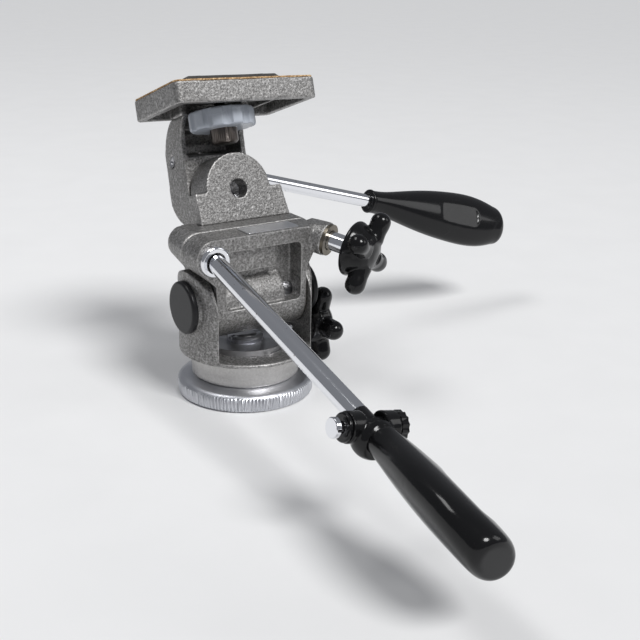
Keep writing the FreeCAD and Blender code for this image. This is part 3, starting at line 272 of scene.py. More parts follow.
@dataclass(frozen=True)
class HammeredPaint:
    """Silvery grey hammered paint with a fine grain, worn bright along its edges."""
    name: str = "hammered_paint"
    dark: float = 0.09
    middle: float = 0.29
    light: float = 0.62
    soiled: float = 0.1
    bare: float = 0.6
    cells_a_metre: float = 1250.0
    ripples_a_metre: float = 900.0
    flecks_a_metre: float = 3600.0
    patches_a_metre: float = 38.0
    handling_a_metre: float = 150.0
    rubs_a_metre: float = 260.0
    wear: float = 0.8
    worn_below: float = -1.0
    worn_edge: float = 0.0008
    metal: float = 0.78
    roughness: float = 0.47
    relief: float = 0.00035

    def make(self) -> bpy.types.Material:
        """Build the paint."""
        g = Graph(self.name)
        cells = g.cells(self.cells_a_metre, "SMOOTH_F1")
        ripple = g.noise(self.ripples_a_metre, 3.0, 0.65)
        flecks = g.noise(self.flecks_a_metre, 2.0, 0.7)
        patches = g.noise(self.patches_a_metre, 4.0, 0.6)
        lift = cells * 0.45 + ripple * 0.5 + flecks * 0.4 - 0.2
        paint = g.colours(lift, [(0.22, grey(self.dark, 0.03)), (0.5, grey(self.middle, 0.02)),
                                 (0.8, grey(self.light, 0.01))])
        dirt = patches.above(0.6, 0.12) * 0.3
        paint = g.blend(dirt, paint, grey(self.soiled, 0.05))
        neck = 1 - g.axis("Z").above(self.worn_below, self.worn_edge)
        handled = neck * (g.noise(self.handling_a_metre, 5.0, 0.7) * 0.5 + 0.5)
        touched = g.noise(self.rubs_a_metre, 4.0, 0.7).above(0.44, 0.12)
        edges = g.pointiness().above(0.54, 0.02) * touched * self.wear
        rubbed = g.math("MAXIMUM", edges, handled)
        g.feed("Base Color", g.blend(rubbed, paint, grey(self.bare, 0.02)))
        g.feed("Metallic", rubbed * 0.2 + self.metal)
        g.feed("Roughness", self.roughness - cells * 0.1 + flecks * 0.1 - rubbed * 0.06)
        relief = cells * 0.6 + ripple * 0.9 + flecks * 0.25
        g.bump(relief * (1 - handled * 0.85), 0.6, self.relief)
        g.feed("Coat Weight", 0.12)
        g.feed("Coat Roughness", 0.25)
        return g.material


@dataclass(frozen=True)
class TurnedMetal:
    """Lathe-turned bare metal with rings, scratches and dull patches."""
    name: str
    tone: Triple
    roughness: float = 0.3
    rings_a_metre: float = 5200.0
    scratches: float = 0.25
    streaks_a_metre: float = 900.0
    patches_a_metre: float = 70.0
    scratches_a_metre: float = 210.0
    dulled: Triple = (0.72, 0.72, 0.74)
    cut: float = 1.25
    relief: float = 0.0001

    def make(self) -> bpy.types.Material:
        """Build the metal."""
        g = Graph(self.name)
        rings = g.math("SINE", g.radius() * self.rings_a_metre)
        brushed = g.stretched((1.0, 0.08, 0.6), (0.3, 0.2, 0.7))
        streaks = g.noise(self.streaks_a_metre, 3.0, 0.6, brushed)
        patches = g.noise(self.patches_a_metre, 4.0, 0.62)
        drawn = g.stretched((1.0, 0.12, 1.0), (0.1, 0.5, 1.1))
        scratch = g.cells(self.scratches_a_metre, "DISTANCE_TO_EDGE", drawn)
        lines = (1 - scratch.above(0.012, 0.01)) * patches.above(0.5, 0.1) * self.scratches
        low = opaque([tone * share for tone, share in zip(self.tone, self.dulled)])
        fresh = opaque([min(1.0, tone * self.cut) for tone in self.tone])
        colour = g.blend(patches, low, opaque(self.tone))
        g.feed("Base Color", g.blend(lines, colour, fresh))
        g.feed("Metallic", 1.0)
        g.feed("Roughness", patches * 0.16 + streaks * 0.14 + (self.roughness - 0.12) + lines * 0.2)
        g.bump(rings * 0.25 + streaks * 0.5 - lines * 0.6, 0.12, self.relief)
        return g.material


@dataclass(frozen=True)
class Plating:
    """Bright plated rod with faint draw marks and a few specks."""
    name: str = "bright_plating"
    tone: Triple = (0.86, 0.87, 0.9)
    roughness: float = 0.07
    haze_a_metre: float = 46.0
    marks_a_metre: float = 1300.0
    specks_a_metre: float = 260.0
    speck: float = 0.35
    relief: float = 0.00006

    def make(self) -> bpy.types.Material:
        """Build the plating."""
        g = Graph(self.name)
        haze = g.noise(self.haze_a_metre, 4.0, 0.6)
        drawn = g.stretched((1.0, 0.05, 1.0), (0.0, 0.1, 0.1))
        marks = g.noise(self.marks_a_metre, 3.0, 0.7, drawn)
        specks = g.cells(self.specks_a_metre).above(0.09, 0.02)
        g.feed("Base Color", g.blend(specks, grey(self.speck, 0.05), opaque(self.tone)))
        g.feed("Metallic", 1.0)
        g.feed("Roughness", haze * 0.08 + marks * 0.05 + self.roughness - 0.03)
        g.bump(marks, 0.04, self.relief)
        return g.material


@dataclass(frozen=True)
class MouldedPlastic:
    """Moulded plastic with fine grain, faint scuffs and settled dust."""
    name: str
    tone: Triple
    roughness: float = 0.16
    grain: float = 0.05
    scuffs: float = 0.3
    coat: float = 0.4
    grain_a_metre: float = 3200.0
    swirls_a_metre: float = 48.0
    scuffs_a_metre: float = 150.0
    dust_a_metre: float = 640.0
    shine: float = 0.22
    coat_share: float = 0.4
    relief: float = 0.0002

    def make(self) -> bpy.types.Material:
        """Build the plastic."""
        g = Graph(self.name)
        grain = g.noise(self.grain_a_metre, 2.0, 0.6)
        swirl = g.noise(self.swirls_a_metre, 4.0, 0.6)
        drawn = g.stretched((1.0, 0.16, 0.7), (0.6, 0.2, 0.9))
        edge = g.cells(self.scuffs_a_metre, "DISTANCE_TO_EDGE", drawn)
        scuff = (1 - edge.above(0.01, 0.008)) * swirl.above(0.52, 0.08) * self.scuffs
        dust = g.noise(self.dust_a_metre, 5.0, 0.75).above(0.68, 0.06) * 0.12
        pale = opaque([min(1.0, tone * 1.5 + 0.05) for tone in self.tone])
        g.feed("Base Color", g.blend(scuff + dust, opaque(self.tone), pale))
        g.feed("Roughness", swirl * 0.1 + grain * 0.05 + scuff * 0.3 + self.roughness - 0.05)
        g.bump(grain * 0.6 + swirl * 0.6 - scuff, self.grain, self.relief)
        g.feed("Specular IOR Level", self.shine)
        g.feed("Coat Weight", self.coat * self.coat_share)
        g.feed("Coat Roughness", 0.05)
        return g.material


@dataclass(frozen=True)
class PressedCork:
    """Fine pressed cork: pale and dark granules."""
    name: str = "pressed_cork"
    granules_a_metre: float = 1100.0
    dark: Triple = (0.30, 0.17, 0.075)
    middle: Triple = (0.56, 0.36, 0.18)
    light: Triple = (0.74, 0.54, 0.31)
    seam: Triple = (0.16, 0.085, 0.04)
    roughness: float = 0.86
    relief: float = 0.00018

    def make(self) -> bpy.types.Material:
        """Build the cork."""
        g = Graph(self.name)
        granule = g.cells(self.granules_a_metre, "F1", None, "Color")
        shade = g.node("ShaderNodeSeparateColor", {}, {"Color": granule}, "Red")
        gaps = 1 - g.cells(self.granules_a_metre, "DISTANCE_TO_EDGE").above(0.06, 0.05)
        body = g.colours(shade, [(0.0, opaque(self.dark)), (0.55, opaque(self.middle)),
                                 (1.0, opaque(self.light))])
        g.feed("Base Color", g.blend(gaps * 0.6, body, opaque(self.seam)))
        g.feed("Roughness", self.roughness)
        g.bump(shade * 0.5 - gaps, 0.5, self.relief)
        return g.material


@dataclass(frozen=True)
class PadRubber:
    """Dark grey rubber with a fine pebble and grey dust."""
    name: str = "pad_rubber"
    pebbles_a_metre: float = 1900.0
    dust_a_metre: float = 90.0
    clean: float = 0.032
    dusty: float = 0.085
    roughness: float = 0.62
    relief: float = 0.00016

    def make(self) -> bpy.types.Material:
        """Build the rubber."""
        g = Graph(self.name)
        pebble = g.cells(self.pebbles_a_metre, "SMOOTH_F1")
        dust = g.noise(self.dust_a_metre, 5.0, 0.7).above(0.55, 0.12) * 0.4
        g.feed("Base Color", g.blend(dust, grey(self.clean, 0.02), grey(self.dusty, 0.04)))
        g.feed("Roughness", self.roughness + pebble * 0.12 + dust * 0.2)
        g.bump(pebble, 0.4, self.relief)
        return g.material


@dataclass(frozen=True)
class FloorPaper:
    """Matt pale paper with a faint cloudiness."""
    name: str = "floor_paper"
    clouds_a_metre: float = 30.0
    low: float = 0.78
    high: float = 0.82
    roughness: float = 0.9

    def make(self) -> bpy.types.Material:
        """Build the paper."""
        g = Graph(self.name)
        clouds = g.noise(self.clouds_a_metre, 3.0)
        g.feed("Base Color", g.blend(clouds, grey(self.low), grey(self.high)))
        g.feed("Roughness", self.roughness)
        return g.material


class Finish(Enum):
    """The finishes of the head, by the look of each surface."""
    PAINT = HammeredPaint()
    WORN_PAINT = HammeredPaint("worn_paint", worn_below=0.0193)
    ALUMINIUM = TurnedMetal("bare_aluminium", (0.72, 0.73, 0.76), 0.33)
    STEEL = TurnedMetal("turned_steel", (0.55, 0.55, 0.56), 0.3)
    PLATED = Plating()
    BRASS = TurnedMetal("dull_brass", (0.22, 0.195, 0.155), 0.32, 3000.0, 0.1)
    GLOSS = MouldedPlastic("black_gloss", (0.0055, 0.0055, 0.006), 0.15, 0.05, 0.12, 0.5)
    SATIN = MouldedPlastic("black_satin", (0.012, 0.012, 0.013), 0.33, 0.12, 0.3, 0.15)
    PALE = MouldedPlastic("pale_moulding", (0.41, 0.44, 0.49), 0.3, 0.12, 0.25, 0.2)
    BLACKED = TurnedMetal("blacked_steel", (0.12, 0.105, 0.095), 0.3, 4000.0, 0.15)
    FIBRE = MouldedPlastic("friction_fibre", (0.20, 0.15, 0.10), 0.6, 0.3, 0.1, 0.0)
    CORK = PressedCork()
    RUBBER = PadRubber()
    NAME_PLATE = TurnedMetal("plate_metal", (0.80, 0.81, 0.83), 0.3, 0.0, 0.2)


class Paints:
    """Makes each finish once and hands out its material."""

    def __init__(self) -> None:
        """Start with no material made."""
        self._made: Dict[Finish, bpy.types.Material] = {}

    def of(self, finish: Finish) -> bpy.types.Material:
        """Material of a finish."""
        if finish not in self._made:
            self._made[finish] = finish.value.make()
        return self._made[finish]

    def coat(self, piece: bpy.types.Object, finish: Finish) -> None:
        """Put one finish on the whole of a piece.

        Args:
            piece: the piece that is covered.
            finish: what covers it.
        """
        material = self.of(finish)
        if not piece.material_slots:
            piece.data.materials.append(material)
        for slot in piece.material_slots:
            slot.material = material


# ---------------------------------------------------------------- bench tools

@dataclass(frozen=True)
class Place:
    """A local frame: where it stands, and where its three axes point."""
    origin: Triple
    x: Triple
    y: Triple
    z: Triple

    def matrix(self) -> Matrix:
        """Matrix from the local frame to the head's frame, in metres."""
        columns = Matrix((self.x, self.y, self.z)).transposed().to_4x4()
        return Matrix.Translation(Vector(self.origin) * MM) @ columns


LEVEL = Place((0, 0, 0), (1, 0, 0), (0, 1, 0), (0, 0, 1))
HANDLE = Place((-23.5, -16.0, 65.8), (0.99664, -0.08194, 0.0), (-0.01563, -0.19017, 0.98163),
               (-0.08043, -0.97833, -0.19081))
STUB = Place((32.5, -15.3, 67.4), (0.88295, 0.46947, 0.0), (0.08152, -0.15332, 0.98481),
             (0.46234, -0.86953, -0.17365))
REAR = Place((20.8275, 43.6636, 86.0487), (-0.04186, 0.94561, -0.3226), (0.26703, 0.32172, 0.9084),
             (0.96278, -0.04811, -0.26597))


@dataclass(frozen=True)
class Softness:
    """How a copy is rounded over: face size in millimetres, passes, and the shading angle."""
    grain: float
    passes: int
    degrees: float


CASTING = Softness(0.5, 4, 40.0)
FINE_CASTING = Softness(0.45, 4, 40.0)
CAP = Softness(0.35, 2, 40.0)
SHEET = Softness(0.35, 1, 40.0)
THIN_PLATE = Softness(0.14, 2, 50.0)
MOULDING = Softness(0.3, 3, 50.0)
RIM = Softness(0.25, 2, 50.0)
BUTTON = Softness(0.2, 2, 40.0)
HUB = Softness(0.35, 6, 60.0)
GRIP = Softness(0.5, 8, 60.0)
STAR = Softness(0.4, 14, 60.0)
BLENDED_STAR = Softness(0.35, 16, 60.0)

ROD_SHADING = 35.0
MACHINED_SHADING = 32.0
KNURL_SHADING = 24.0
RIDGE_SHADING = 20.0
COLLAR_SHADING = 40.0
THREAD_SHADING = 50.0


class Bench:
    """Hand tools that add and shape one mesh at a time."""

    POINTS_AROUND = 64
    THREAD_STEPS = 40

    @staticmethod
    def alone(piece: bpy.types.Object) -> None:
        """Select one piece and nothing else."""
        bpy.ops.object.select_all(action="DESELECT")
        piece.select_set(True)
        bpy.context.view_layer.objects.active = piece

    @classmethod
    def applied(cls, piece: bpy.types.Object, kind: str, **settings: object) -> None:
        """Add a modifier to a piece, set it, and apply it.

        Args:
            piece: the piece that is changed.
            kind: the modifier's type.
            settings: values of the modifier's properties.
        """
        cls.alone(piece)
        modifier = piece.modifiers.new(kind.lower(), kind)
        for key, value in settings.items():
            setattr(modifier, key, value)
        bpy.ops.object.modifier_apply(modifier=modifier.name)

    @classmethod
    def smooth(cls, piece: bpy.types.Object, degrees: float = ROD_SHADING) -> None:
        """Smooth shading up to an angle between faces."""
        cls.alone(piece)
        bpy.ops.object.shade_smooth_by_angle(angle=math.radians(degrees))

    @classmethod
    def soften(cls, piece: bpy.types.Object, softness: Softness) -> None:
        """Round a piece's edges over and shade it smooth.

        Args:
            piece: the piece that is changed.
            softness: how far its edges are eased.
        """
        cls.applied(piece, "REMESH", mode="VOXEL", voxel_size=softness.grain * MM)
        cls.applied(piece, "SMOOTH", factor=0.5, iterations=softness.passes)
        cls.smooth(piece, softness.degrees)

    @classmethod
    def settle(cls, piece: bpy.types.Object, matrix: Matrix) -> None:
        """Move a piece and keep the move in its mesh."""
        cls.alone(piece)
        piece.matrix_world = matrix
        bpy.ops.object.transform_apply(location=True, rotation=True, scale=True)

    @classmethod
    def merged_copy(cls, node: str, name: str) -> bpy.types.Object:
        """Copy of a solid's mesh with its loose triangles joined.

        Args:
            node: the solid that is copied.
            name: name of the new piece.

        Returns:
            The new piece, at the origin.
        """
        source = frame["nodes"][node]
        piece = bpy.data.objects.new(name, source.data.copy())
        piece.data.name = name
        piece.data.materials.clear()
        bpy.context.scene.collection.objects.link(piece)
        cls.alone(piece)
        bpy.ops.object.mode_set(mode="EDIT")
        bpy.ops.mesh.select_all(action="SELECT")
        bpy.ops.mesh.remove_doubles(threshold=SOLID_WELD)
        bpy.ops.object.mode_set(mode="OBJECT")
        return piece

    @classmethod
    def turned(cls, name: str, rings: Sequence[Ring], place: Place = LEVEL) -> bpy.types.Object:
        """Round piece raised ring by ring from a circle, then set in its place.

        Args:
            name: name of the new piece.
            rings: radius and height of each ring, in millimetres.
            place: local frame whose Z the piece stands along.

        Returns:
            The new piece, closed at both ends.
        """
        last_r, last_z = rings[0]
        bpy.ops.object.select_all(action="DESELECT")
        bpy.ops.mesh.primitive_circle_add(vertices=cls.POINTS_AROUND, radius=last_r * MM,
                                          fill_type="NGON", location=(0, 0, 0))
        piece = bpy.context.active_object
        piece.name = name
        piece.data.name = name
        bpy.ops.object.mode_set(mode="EDIT")
        bpy.ops.mesh.select_all(action="SELECT")
        bpy.ops.transform.translate(value=(0, 0, last_z * MM))
        for ring_r, ring_z in rings[1:]:
            bpy.ops.mesh.extrude_region_move(
                TRANSFORM_OT_translate={"value": (0, 0, (ring_z - last_z) * MM)})
            share = ring_r / last_r
            bpy.ops.transform.resize(value=(share, share, 1), center_override=(0, 0, ring_z * MM))
            last_r, last_z = ring_r, ring_z
        bpy.ops.mesh.select_all(action="SELECT")
        bpy.ops.mesh.remove_doubles(threshold=TURNED_WELD)
        bpy.ops.mesh.normals_make_consistent(inside=False)
        bpy.ops.object.mode_set(mode="OBJECT")
        cls.settle(piece, place.matrix())
        return piece

    @classmethod
    def coil(cls, name: str, radius: float, depth: float, pitch: float, turns: int,
             low: float) -> bpy.types.Object:
        """Screw thread round the pan axis: a three-cornered ridge wound up a helix.

        Args:
            name: name of the new piece.
            radius: radius at the ridge's root, in millimetres.
            depth: height of the ridge.
            pitch: rise in one turn.
            turns: number of turns.
            low: height at which the thread starts.

        Returns:
            The new piece.
        """
        bpy.ops.object.select_all(action="DESELECT")
        bpy.ops.mesh.primitive_circle_add(vertices=3, radius=depth * MM, fill_type="NOTHING",
                                          location=(0, 0, 0))
        piece = bpy.context.active_object
        piece.name = name
        bpy.ops.object.mode_set(mode="EDIT")
        bpy.ops.mesh.select_all(action="SELECT")
        bpy.ops.transform.rotate(value=QUARTER_TURN, orient_axis="X", center_override=(0, 0, 0))
        bpy.ops.transform.rotate(value=QUARTER_TURN, orient_axis="Y", center_override=(0, 0, 0))
        bpy.ops.transform.translate(value=(radius * MM, 0, (low + pitch / 2) * MM))
        bpy.ops.object.mode_set(mode="OBJECT")
        cls.applied(piece, "SCREW", angle=2 * math.pi, screw_offset=pitch * MM, iterations=turns,
                    steps=cls.THREAD_STEPS, render_steps=cls.THREAD_STEPS, axis="Z",
                    use_merge_vertices=True)
        bpy.ops.object.mode_set(mode="EDIT")
        bpy.ops.mesh.select_all(action="SELECT")
        bpy.ops.mesh.normals_make_consistent(inside=False)
        bpy.ops.object.mode_set(mode="OBJECT")
        return piece


@dataclass
class SubAssembly:
    """What every sub-assembly of the head shares: paints, and how a piece is handed over."""
    paints: Paints
    pieces: List[bpy.types.Object] = field(default_factory=list)

    def body_of(self, node: str) -> str:
        """Body that a solid belongs to."""
        bodies = frame["record"]["behaviour"]["bodies"]
        return next(body for body, nodes in bodies.items() if node in nodes)

    def hand_over(self, piece: bpy.types.Object, finish: Finish, slot: str, node: str,
                  replace: bool = True) -> bpy.types.Object:
        """Finish a piece and fix it to its body.

        Args:
            piece: the piece, in its place.
            finish: what covers it.
            slot: the record's material slot; not used.
            node: the solid that it stands for or sits on.
            replace: whether the solid is then hidden.

        Returns:
            The same piece.
        """
        self.paints.coat(piece, finish)
        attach(piece, self.body_of(node))
        if replace:
            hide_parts(node)
        self.pieces.append(piece)
        log.info("%s: %d faces, %s", piece.name, len(piece.data.polygons), finish.name.lower())
        return piece

    def softened(self, node: str, name: str, finish: Finish, slot: str,
                 softness: Softness) -> bpy.types.Object:
        """Cast or moulded piece: the solid's form with its edges rounded over.

        Args:
            node: the solid that it stands for.
            name: name of the piece.
            finish: what covers it.
            slot: the record's material slot.
            softness: how far its edges are eased.

        Returns:
            The new piece.
        """
        piece = Bench.merged_copy(node, name)
        Bench.soften(piece, softness)
        return self.hand_over(piece, finish, slot, node)

    def crisp(self, node: str, name: str, finish: Finish, slot: str,
              degrees: float = MACHINED_SHADING) -> bpy.types.Object:
        """Machined piece: the solid's form with clean edges and smooth rounds.

        Args:
            node: the solid that it stands for.
            name: name of the piece.
            finish: what covers it.
            slot: the record's material slot.
            degrees: angle up to which shading is smooth.

        Returns:
            The new piece.
        """
        piece = Bench.merged_copy(node, name)
        Bench.smooth(piece, degrees)
        return self.hand_over(piece, finish, slot, node)


# ---------------------------------------------------------------- the head

@dataclass
class BaseAndPan(SubAssembly):
    """Flange disc, spindle, friction drum and its nut."""
    thread_root: float = 3.95
    thread_depth: float = 0.45
    thread_pitch: float = 1.5875
    thread_turns: int = 6
    thread_low: float = 0.8

    def build(self) -> None:
        """Make and dress the pieces."""
        self.crisp("base_disc", "flange_disc", Finish.ALUMINIUM, "bare_aluminium", KNURL_SHADING)
        self.crisp("pan_spindle", "pan_post", Finish.STEEL, "steel")
        self.crisp("pan_drum", "friction_drum", Finish.STEEL, "steel")
        self.crisp("pan_nut", "slotted_nut", Finish.ALUMINIUM, "steel")
        self.crisp("pan_friction_ring", "pan_fibre_ring", Finish.FIBRE, "fibre")
        thread = Bench.coil("socket_thread", self.thread_root, self.thread_depth, self.thread_pitch,
                            self.thread_turns, self.thread_low)
        Bench.smooth(thread, THREAD_SHADING)
        self.hand_over(thread, Finish.STEEL, "steel", "pan_spindle", replace=False)


@dataclass
class Yoke(SubAssembly):
    """Fork casting with its axle, caps, washers and the pan lock."""

    def build(self) -> None:
        """Make and dress the pieces."""
        self.softened("fork", "fork_casting", Finish.WORN_PAINT, "hammertone", CASTING)
        self.crisp("tilt_axle", "tilt_shaft", Finish.STEEL, "steel")
        for side in ("left", "right"):
            self.softened("axle_cap_" + side, "axle_cover_" + side, Finish.SATIN, "black_matte", CAP)
            self.crisp("tilt_washer_" + side, "tilt_ring_" + side, Finish.FIBRE, "fibre")
        self.crisp("pan_lock_stud", "pan_lock_rod", Finish.PLATED, "steel")
        self.softened("pan_lock_knob", "pan_lock_star", Finish.GLOSS, "black_gloss", STAR)


@dataclass
class TiltBody(SubAssembly):
    """Both halves of the tilting body, its plate, rings, stub and star knob."""
    stub_radius: float = 4.2
    stub_low: float = -8.9
    stub_reach: float = 17.0
    stub_chamfer: float = 0.4
    arms: int = 4
    arm_turn: float = 60.0
    arm_height: float = 20.0
    hub_rings: Tuple[Ring, ...] = ((4.5, 17.8), (4.5, 11.6), (8.0, 11.5), (11.6, 11.7), (12.3, 12.6),
                                   (12.2, 13.8), (11.4, 15.4), (10.3, 17.4), (9.6, 19.4), (8.6, 21.5),
                                   (6.4, 23.2), (2.5, 24.1), (0.3, 24.2))
    arm_rings: Tuple[Ring, ...] = ((4.4, 6.0), (4.2, 8.0), (4.1, 10.5), (4.4, 12.6), (4.5, 14.4),
                                   (4.3, 15.9), (3.6, 17.2), (2.4, 18.2), (0.9, 18.8))

    def stub(self) -> None:
        """Plated stub rod with both ends chamfered."""
        r, chamfer = self.stub_radius, self.stub_chamfer
        stub = Bench.turned("knob_stub", [(r - chamfer, self.stub_low), (r, self.stub_low + chamfer),
                                          (r, self.stub_reach),
                                          (r - chamfer, self.stub_reach + chamfer)], STUB)
        Bench.smooth(stub)
        self.hand_over(stub, Finish.PLATED, "chrome_rod", "side_stub")

    def star(self) -> None:
        """Four blended arms round a domed hub, with a round skirt behind them."""
        star = Bench.turned("side_star", self.hub_rings)
        radial = Place((0, 0, self.arm_height), (0, 0, -1), (0, 1, 0), (1, 0, 0))
        arm = Bench.turned("star_arm", self.arm_rings, radial)
        copies = [arm]
        for _ in range(self.arms - 1):
            spare = bpy.data.objects.new("star_arm", arm.data.copy())
            bpy.context.scene.collection.objects.link(spare)
            copies.append(spare)
        for number, spare in enumerate(copies):
            turn = math.radians(self.arm_turn) + number * 2 * math.pi / self.arms
            Bench.settle(spare, Matrix.Rotation(turn, 4, "Z"))
        Bench.alone(star)
        for spare in copies:
            spare.select_set(True)
        bpy.ops.object.join()
        Bench.soften(star, BLENDED_STAR)
        Bench.settle(star, STUB.matrix())
        self.hand_over(star, Finish.GLOSS, "black_gloss", "side_knob")

    def build(self) -> None:
        """Make and dress the pieces."""
        self.softened("front_body", "front_casting", Finish.PAINT, "hammertone", FINE_CASTING)
        self.softened("rear_body", "rear_casting", Finish.PAINT, "hammertone", CASTING)
        self.crisp("body_screws", "seam_screws", Finish.STEEL, "steel")
        self.crisp("body_dowels", "seam_dowels", Finish.STEEL, "steel")
        self.softened("name_plate", "top_plate", Finish.NAME_PLATE, "bare_aluminium", THIN_PLATE)
        self.crisp("handle_ferrule", "handle_collar", Finish.PLATED, "chrome_rod", COLLAR_SHADING)
        self.crisp("stub_ring", "stub_collar", Finish.BRASS, "brass_ring", COLLAR_SHADING)
        self.stub()
        self.star()


@dataclass
class FrontHandle(SubAssembly):
    """Front rod, cross bar with its button, and the folding grip."""
    rod_radius: float = 3.85
    root_radius: float = 2.9
    root_low: float = -24.9
    root_top: float = -7.0
    rod_end: float = 116.4
    pin_radius: float = 2.2
    pin_end: float = 119.4
    step: float = 0.05
    between: Tuple[float, float] = (40.0, 80.0)

    def rod(self) -> None:
        """Plated rod with a thinner root in the body and a pin in the cross bar."""
        r = self.rod_radius
        rings = [(self.root_radius, self.root_low), (self.root_radius, self.root_top),
                 (r, self.root_top + self.step)]
        rings += [(r, height) for height in (*self.between, self.rod_end)]
        rings += [(self.pin_radius, self.rod_end + self.step), (self.pin_radius, self.pin_end)]
        rod = Bench.turned("handle_rod", rings, HANDLE)
        Bench.smooth(rod)
        self.hand_over(rod, Finish.PLATED, "chrome_rod", "front_rod")

    def build(self) -> None:
        """Make and dress the pieces."""
        self.rod()
        self.softened("front_knuckle", "cross_bar", Finish.GLOSS, "black_gloss", MOULDING)
        self.crisp("knuckle_cap", "ridged_disc", Finish.GLOSS, "black_gloss", RIDGE_SHADING)
        self.softened("release_button", "push_button", Finish.PLATED, "chrome_rod", BUTTON)
        self.crisp("button_spring", "button_coil", Finish.STEEL, "steel")
        self.softened("front_ball", "grip_hub", Finish.GLOSS, "black_gloss", HUB)
        self.softened("front_grip", "folding_grip", Finish.GLOSS, "black_gloss", GRIP)


@dataclass
class TurretAndArm(SubAssembly):
    """Turret, sideways tilt axle, goose-neck arm and platform."""

    def build(self) -> None:
        """Make and dress the pieces."""
        self.softened("turret", "turret_casting", Finish.PAINT, "hammertone", FINE_CASTING)
        self.crisp("turret_screws", "turret_bolts", Finish.STEEL, "steel")
        self.crisp("lateral_axle", "sideways_shaft", Finish.STEEL, "steel")
        self.crisp("lateral_friction_ring", "sideways_ring", Finish.FIBRE, "fibre")
        self.crisp("axle_end_washer", "shaft_washer", Finish.STEEL, "steel")
        self.crisp("axle_end_nut", "shaft_nut", Finish.STEEL, "steel")
        self.softened("arm", "arm_casting", Finish.PAINT, "hammertone", FINE_CASTING)
        self.crisp("arm_set_screw", "arm_grub_screw", Finish.STEEL, "steel")
        self.softened("platform", "platform_casting", Finish.PAINT, "hammertone", CASTING)
        self.crisp("platform_screws", "platform_bolts", Finish.STEEL, "steel")
        self.softened("cork_sheet", "cork_layer", Finish.CORK, "cork", SHEET)
        self.softened("rubber_pad", "camera_pad", Finish.RUBBER, "pad_rubber", CAP)


@dataclass
class CameraScrew(SubAssembly):
    """Captive camera screw with its pale fluted knob and steel stem."""

    def build(self) -> None:
        """Make and dress the pieces."""
        self.crisp("camera_screw", "screw_core", Finish.STEEL, "steel")
        self.softened("camera_knob", "fluted_knob", Finish.PALE, "pale_knob", MOULDING)
        self.crisp("camera_stem", "screw_stem", Finish.BLACKED, "dark_steel")
        self.crisp("camera_collar", "thrust_ring", Finish.SATIN, "black_matte")


@dataclass
class RearHandle(SubAssembly):
    """Rear rod, socket rim and fixed grip."""
    rod_radius: float = 3.25
    root_radius: float = 2.45
    root_low: float = -27.0
    root_top: float = 3.0
    rod_end: float = 92.2
    step: float = 0.05
    between: float = 40.0

    def rod(self) -> None:
        """Plated rod with a thinner root in the arm's boss."""
        r = self.rod_radius
        rod = Bench.turned("rear_handle_rod", [(self.root_radius, self.root_low),
                                               (self.root_radius, self.root_top),
                                               (r, self.root_top + self.step), (r, self.between),
                                               (r, self.rod_end)], REAR)
        Bench.smooth(rod)
        self.hand_over(rod, Finish.PLATED, "chrome_rod", "rear_rod")

    def build(self) -> None:
        """Make and dress the pieces."""
        self.rod()
        self.softened("rear_socket", "socket_rim", Finish.GLOSS, "black_gloss", RIM)
        self.softened("rear_grip", "fixed_grip", Finish.GLOSS, "black_gloss", GRIP)


# ---------------------------------------------------------------- studio

@dataclass(frozen=True)
class Lamp:
    """A soft area lamp that looks at the head."""
    name: str
    place: Triple
    power: float
    width: float
    height: float

    def add(self, target: Triple) -> None:
        """Add the lamp to the scene, turned to a point."""
        data = bpy.data.lights.new(self.name, "AREA")
        data.shape = "RECTANGLE"
        data.size, data.size_y = self.width, self.height
        data.energy = self.power
        lamp = bpy.data.objects.new(self.name, data)
        bpy.context.scene.collection.objects.link(lamp)
        lamp.location = self.place
        sight = Vector(target) - Vector(self.place)
        lamp.rotation_euler = sight.to_track_quat("-Z", "Y").to_euler()


@dataclass(frozen=True)
class View:
    """Where the photograph was taken from; angles are in degrees, lengths in metres."""
    place: Triple = (-0.2316, -0.3952, 0.1948)
    turn: float = 34.5
    rise: float = 19.6
    roll: float = 1.1
    lens: float = 61.875
    sensor: float = 36.0
    nearest: float = 0.01

    def matrix(self) -> Matrix:
        """Matrix of a camera that stands at the place and looks along the angles."""
        turn, rise, roll = math.radians(self.turn), math.radians(self.rise), math.radians(self.roll)
        right = Vector((math.cos(turn), -math.sin(turn), 0))
        up = Vector((math.sin(rise) * math.sin(turn), math.sin(rise) * math.cos(turn), math.cos(rise)))
        back = Vector((-math.sin(turn) * math.cos(rise), -math.cos(turn) * math.cos(rise),
                       math.sin(rise)))
        across = right * math.cos(roll) + up * math.sin(roll)
        upward = up * math.cos(roll) - right * math.sin(roll)
        facing = Matrix((across, upward, back)).transposed().to_4x4()
        return Matrix.Translation(self.place) @ facing

    def add(self) -> None:
        """Add the camera and look through it."""
        data = bpy.data.cameras.new("view")
        data.lens = self.lens
        data.sensor_width = self.sensor
        data.clip_start = self.nearest
        camera = bpy.data.objects.new("view", data)
        bpy.context.scene.collection.objects.link(camera)
        camera.matrix_world = self.matrix()
        bpy.context.scene.camera = camera


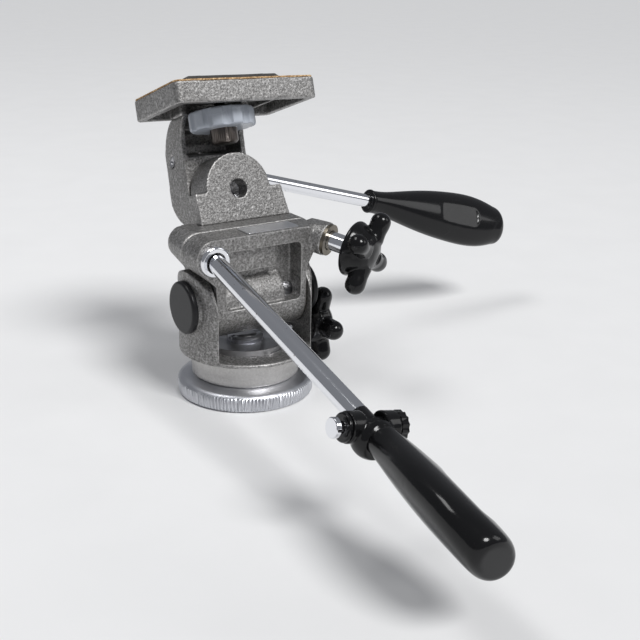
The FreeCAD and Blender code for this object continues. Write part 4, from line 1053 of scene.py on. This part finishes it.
@dataclass(frozen=True)
class Studio:
    """Pale floor, soft lamps and the camera at the photograph's angle."""
    target: Triple = (0.03, -0.02, 0.06)
    sun_from: Triple = (0.12, -0.80, 0.95)
    sun_strength: float = 2.5
    sun_spread: float = 22.0
    lamps: Tuple[Lamp, ...] = (
        Lamp("fill", (0.95, -0.75, 0.65), 1.6, 0.5, 0.5),
        Lamp("top", (-0.3, 0.25, 1.1), 3.0, 0.5, 0.3))
    floor_width: float = 8.0
    floor_drop: float = 0.0002
    sky_tint: Triple = (0.9, 0.93, 1.0)
    sky_strength: float = 0.22
    seen_tint: Triple = (0.86, 0.87, 0.88)

    def sun(self) -> None:
        """Wide soft key light that reaches the whole floor evenly."""
        data = bpy.data.lights.new("key", "SUN")
        data.energy = self.sun_strength
        data.angle = math.radians(self.sun_spread)
        lamp = bpy.data.objects.new("key", data)
        bpy.context.scene.collection.objects.link(lamp)
        lamp.rotation_euler = (-Vector(self.sun_from)).to_track_quat("-Z", "Y").to_euler()

    def floor(self) -> None:
        """Wide pale floor under the head."""
        bpy.ops.object.select_all(action="DESELECT")
        bpy.ops.mesh.primitive_plane_add(size=self.floor_width, location=(0, 0, -self.floor_drop))
        floor = bpy.context.active_object
        floor.name = "floor"
        floor.data.materials.append(FloorPaper().make())

    def sky(self) -> None:
        """Pale surround: near white to the camera, soft grey as light."""
        world = bpy.data.worlds.new("surround")
        bpy.context.scene.world = world
        world.use_nodes = True
        graph = NodeGraph(world.node_tree)
        soft = graph.node("ShaderNodeBackground", {},
                          {"Color": opaque(self.sky_tint), "Strength": self.sky_strength})
        seen = graph.node("ShaderNodeBackground", {},
                          {"Color": opaque(self.seen_tint), "Strength": 1.0})
        ray = graph.node("ShaderNodeLightPath", {}, {}, "Is Camera Ray")
        both = graph.node("ShaderNodeMixShader", {}, {0: ray, 1: soft, 2: seen})
        graph.lead_out("ShaderNodeOutputWorld", both)

    def build(self) -> None:
        """Set up the whole studio."""
        View().add()
        self.floor()
        self.sky()
        self.sun()
        for lamp in self.lamps:
            lamp.add(self.target)
        bpy.context.scene.view_settings.view_transform = "Standard"


def main() -> None:
    """Dress the head, sub-assembly by sub-assembly, and light it."""
    logging.basicConfig(level=logging.INFO, format="%(name)s: %(message)s")
    Studio().build()
    paints = Paints()
    for part in (BaseAndPan, Yoke, TiltBody, FrontHandle, TurretAndArm, CameraScrew, RearHandle):
        assembly = part(paints)
        assembly.build()
        log.info("%s: %d pieces", part.__name__, len(assembly.pieces))


if __name__ == "__main__":
    main()
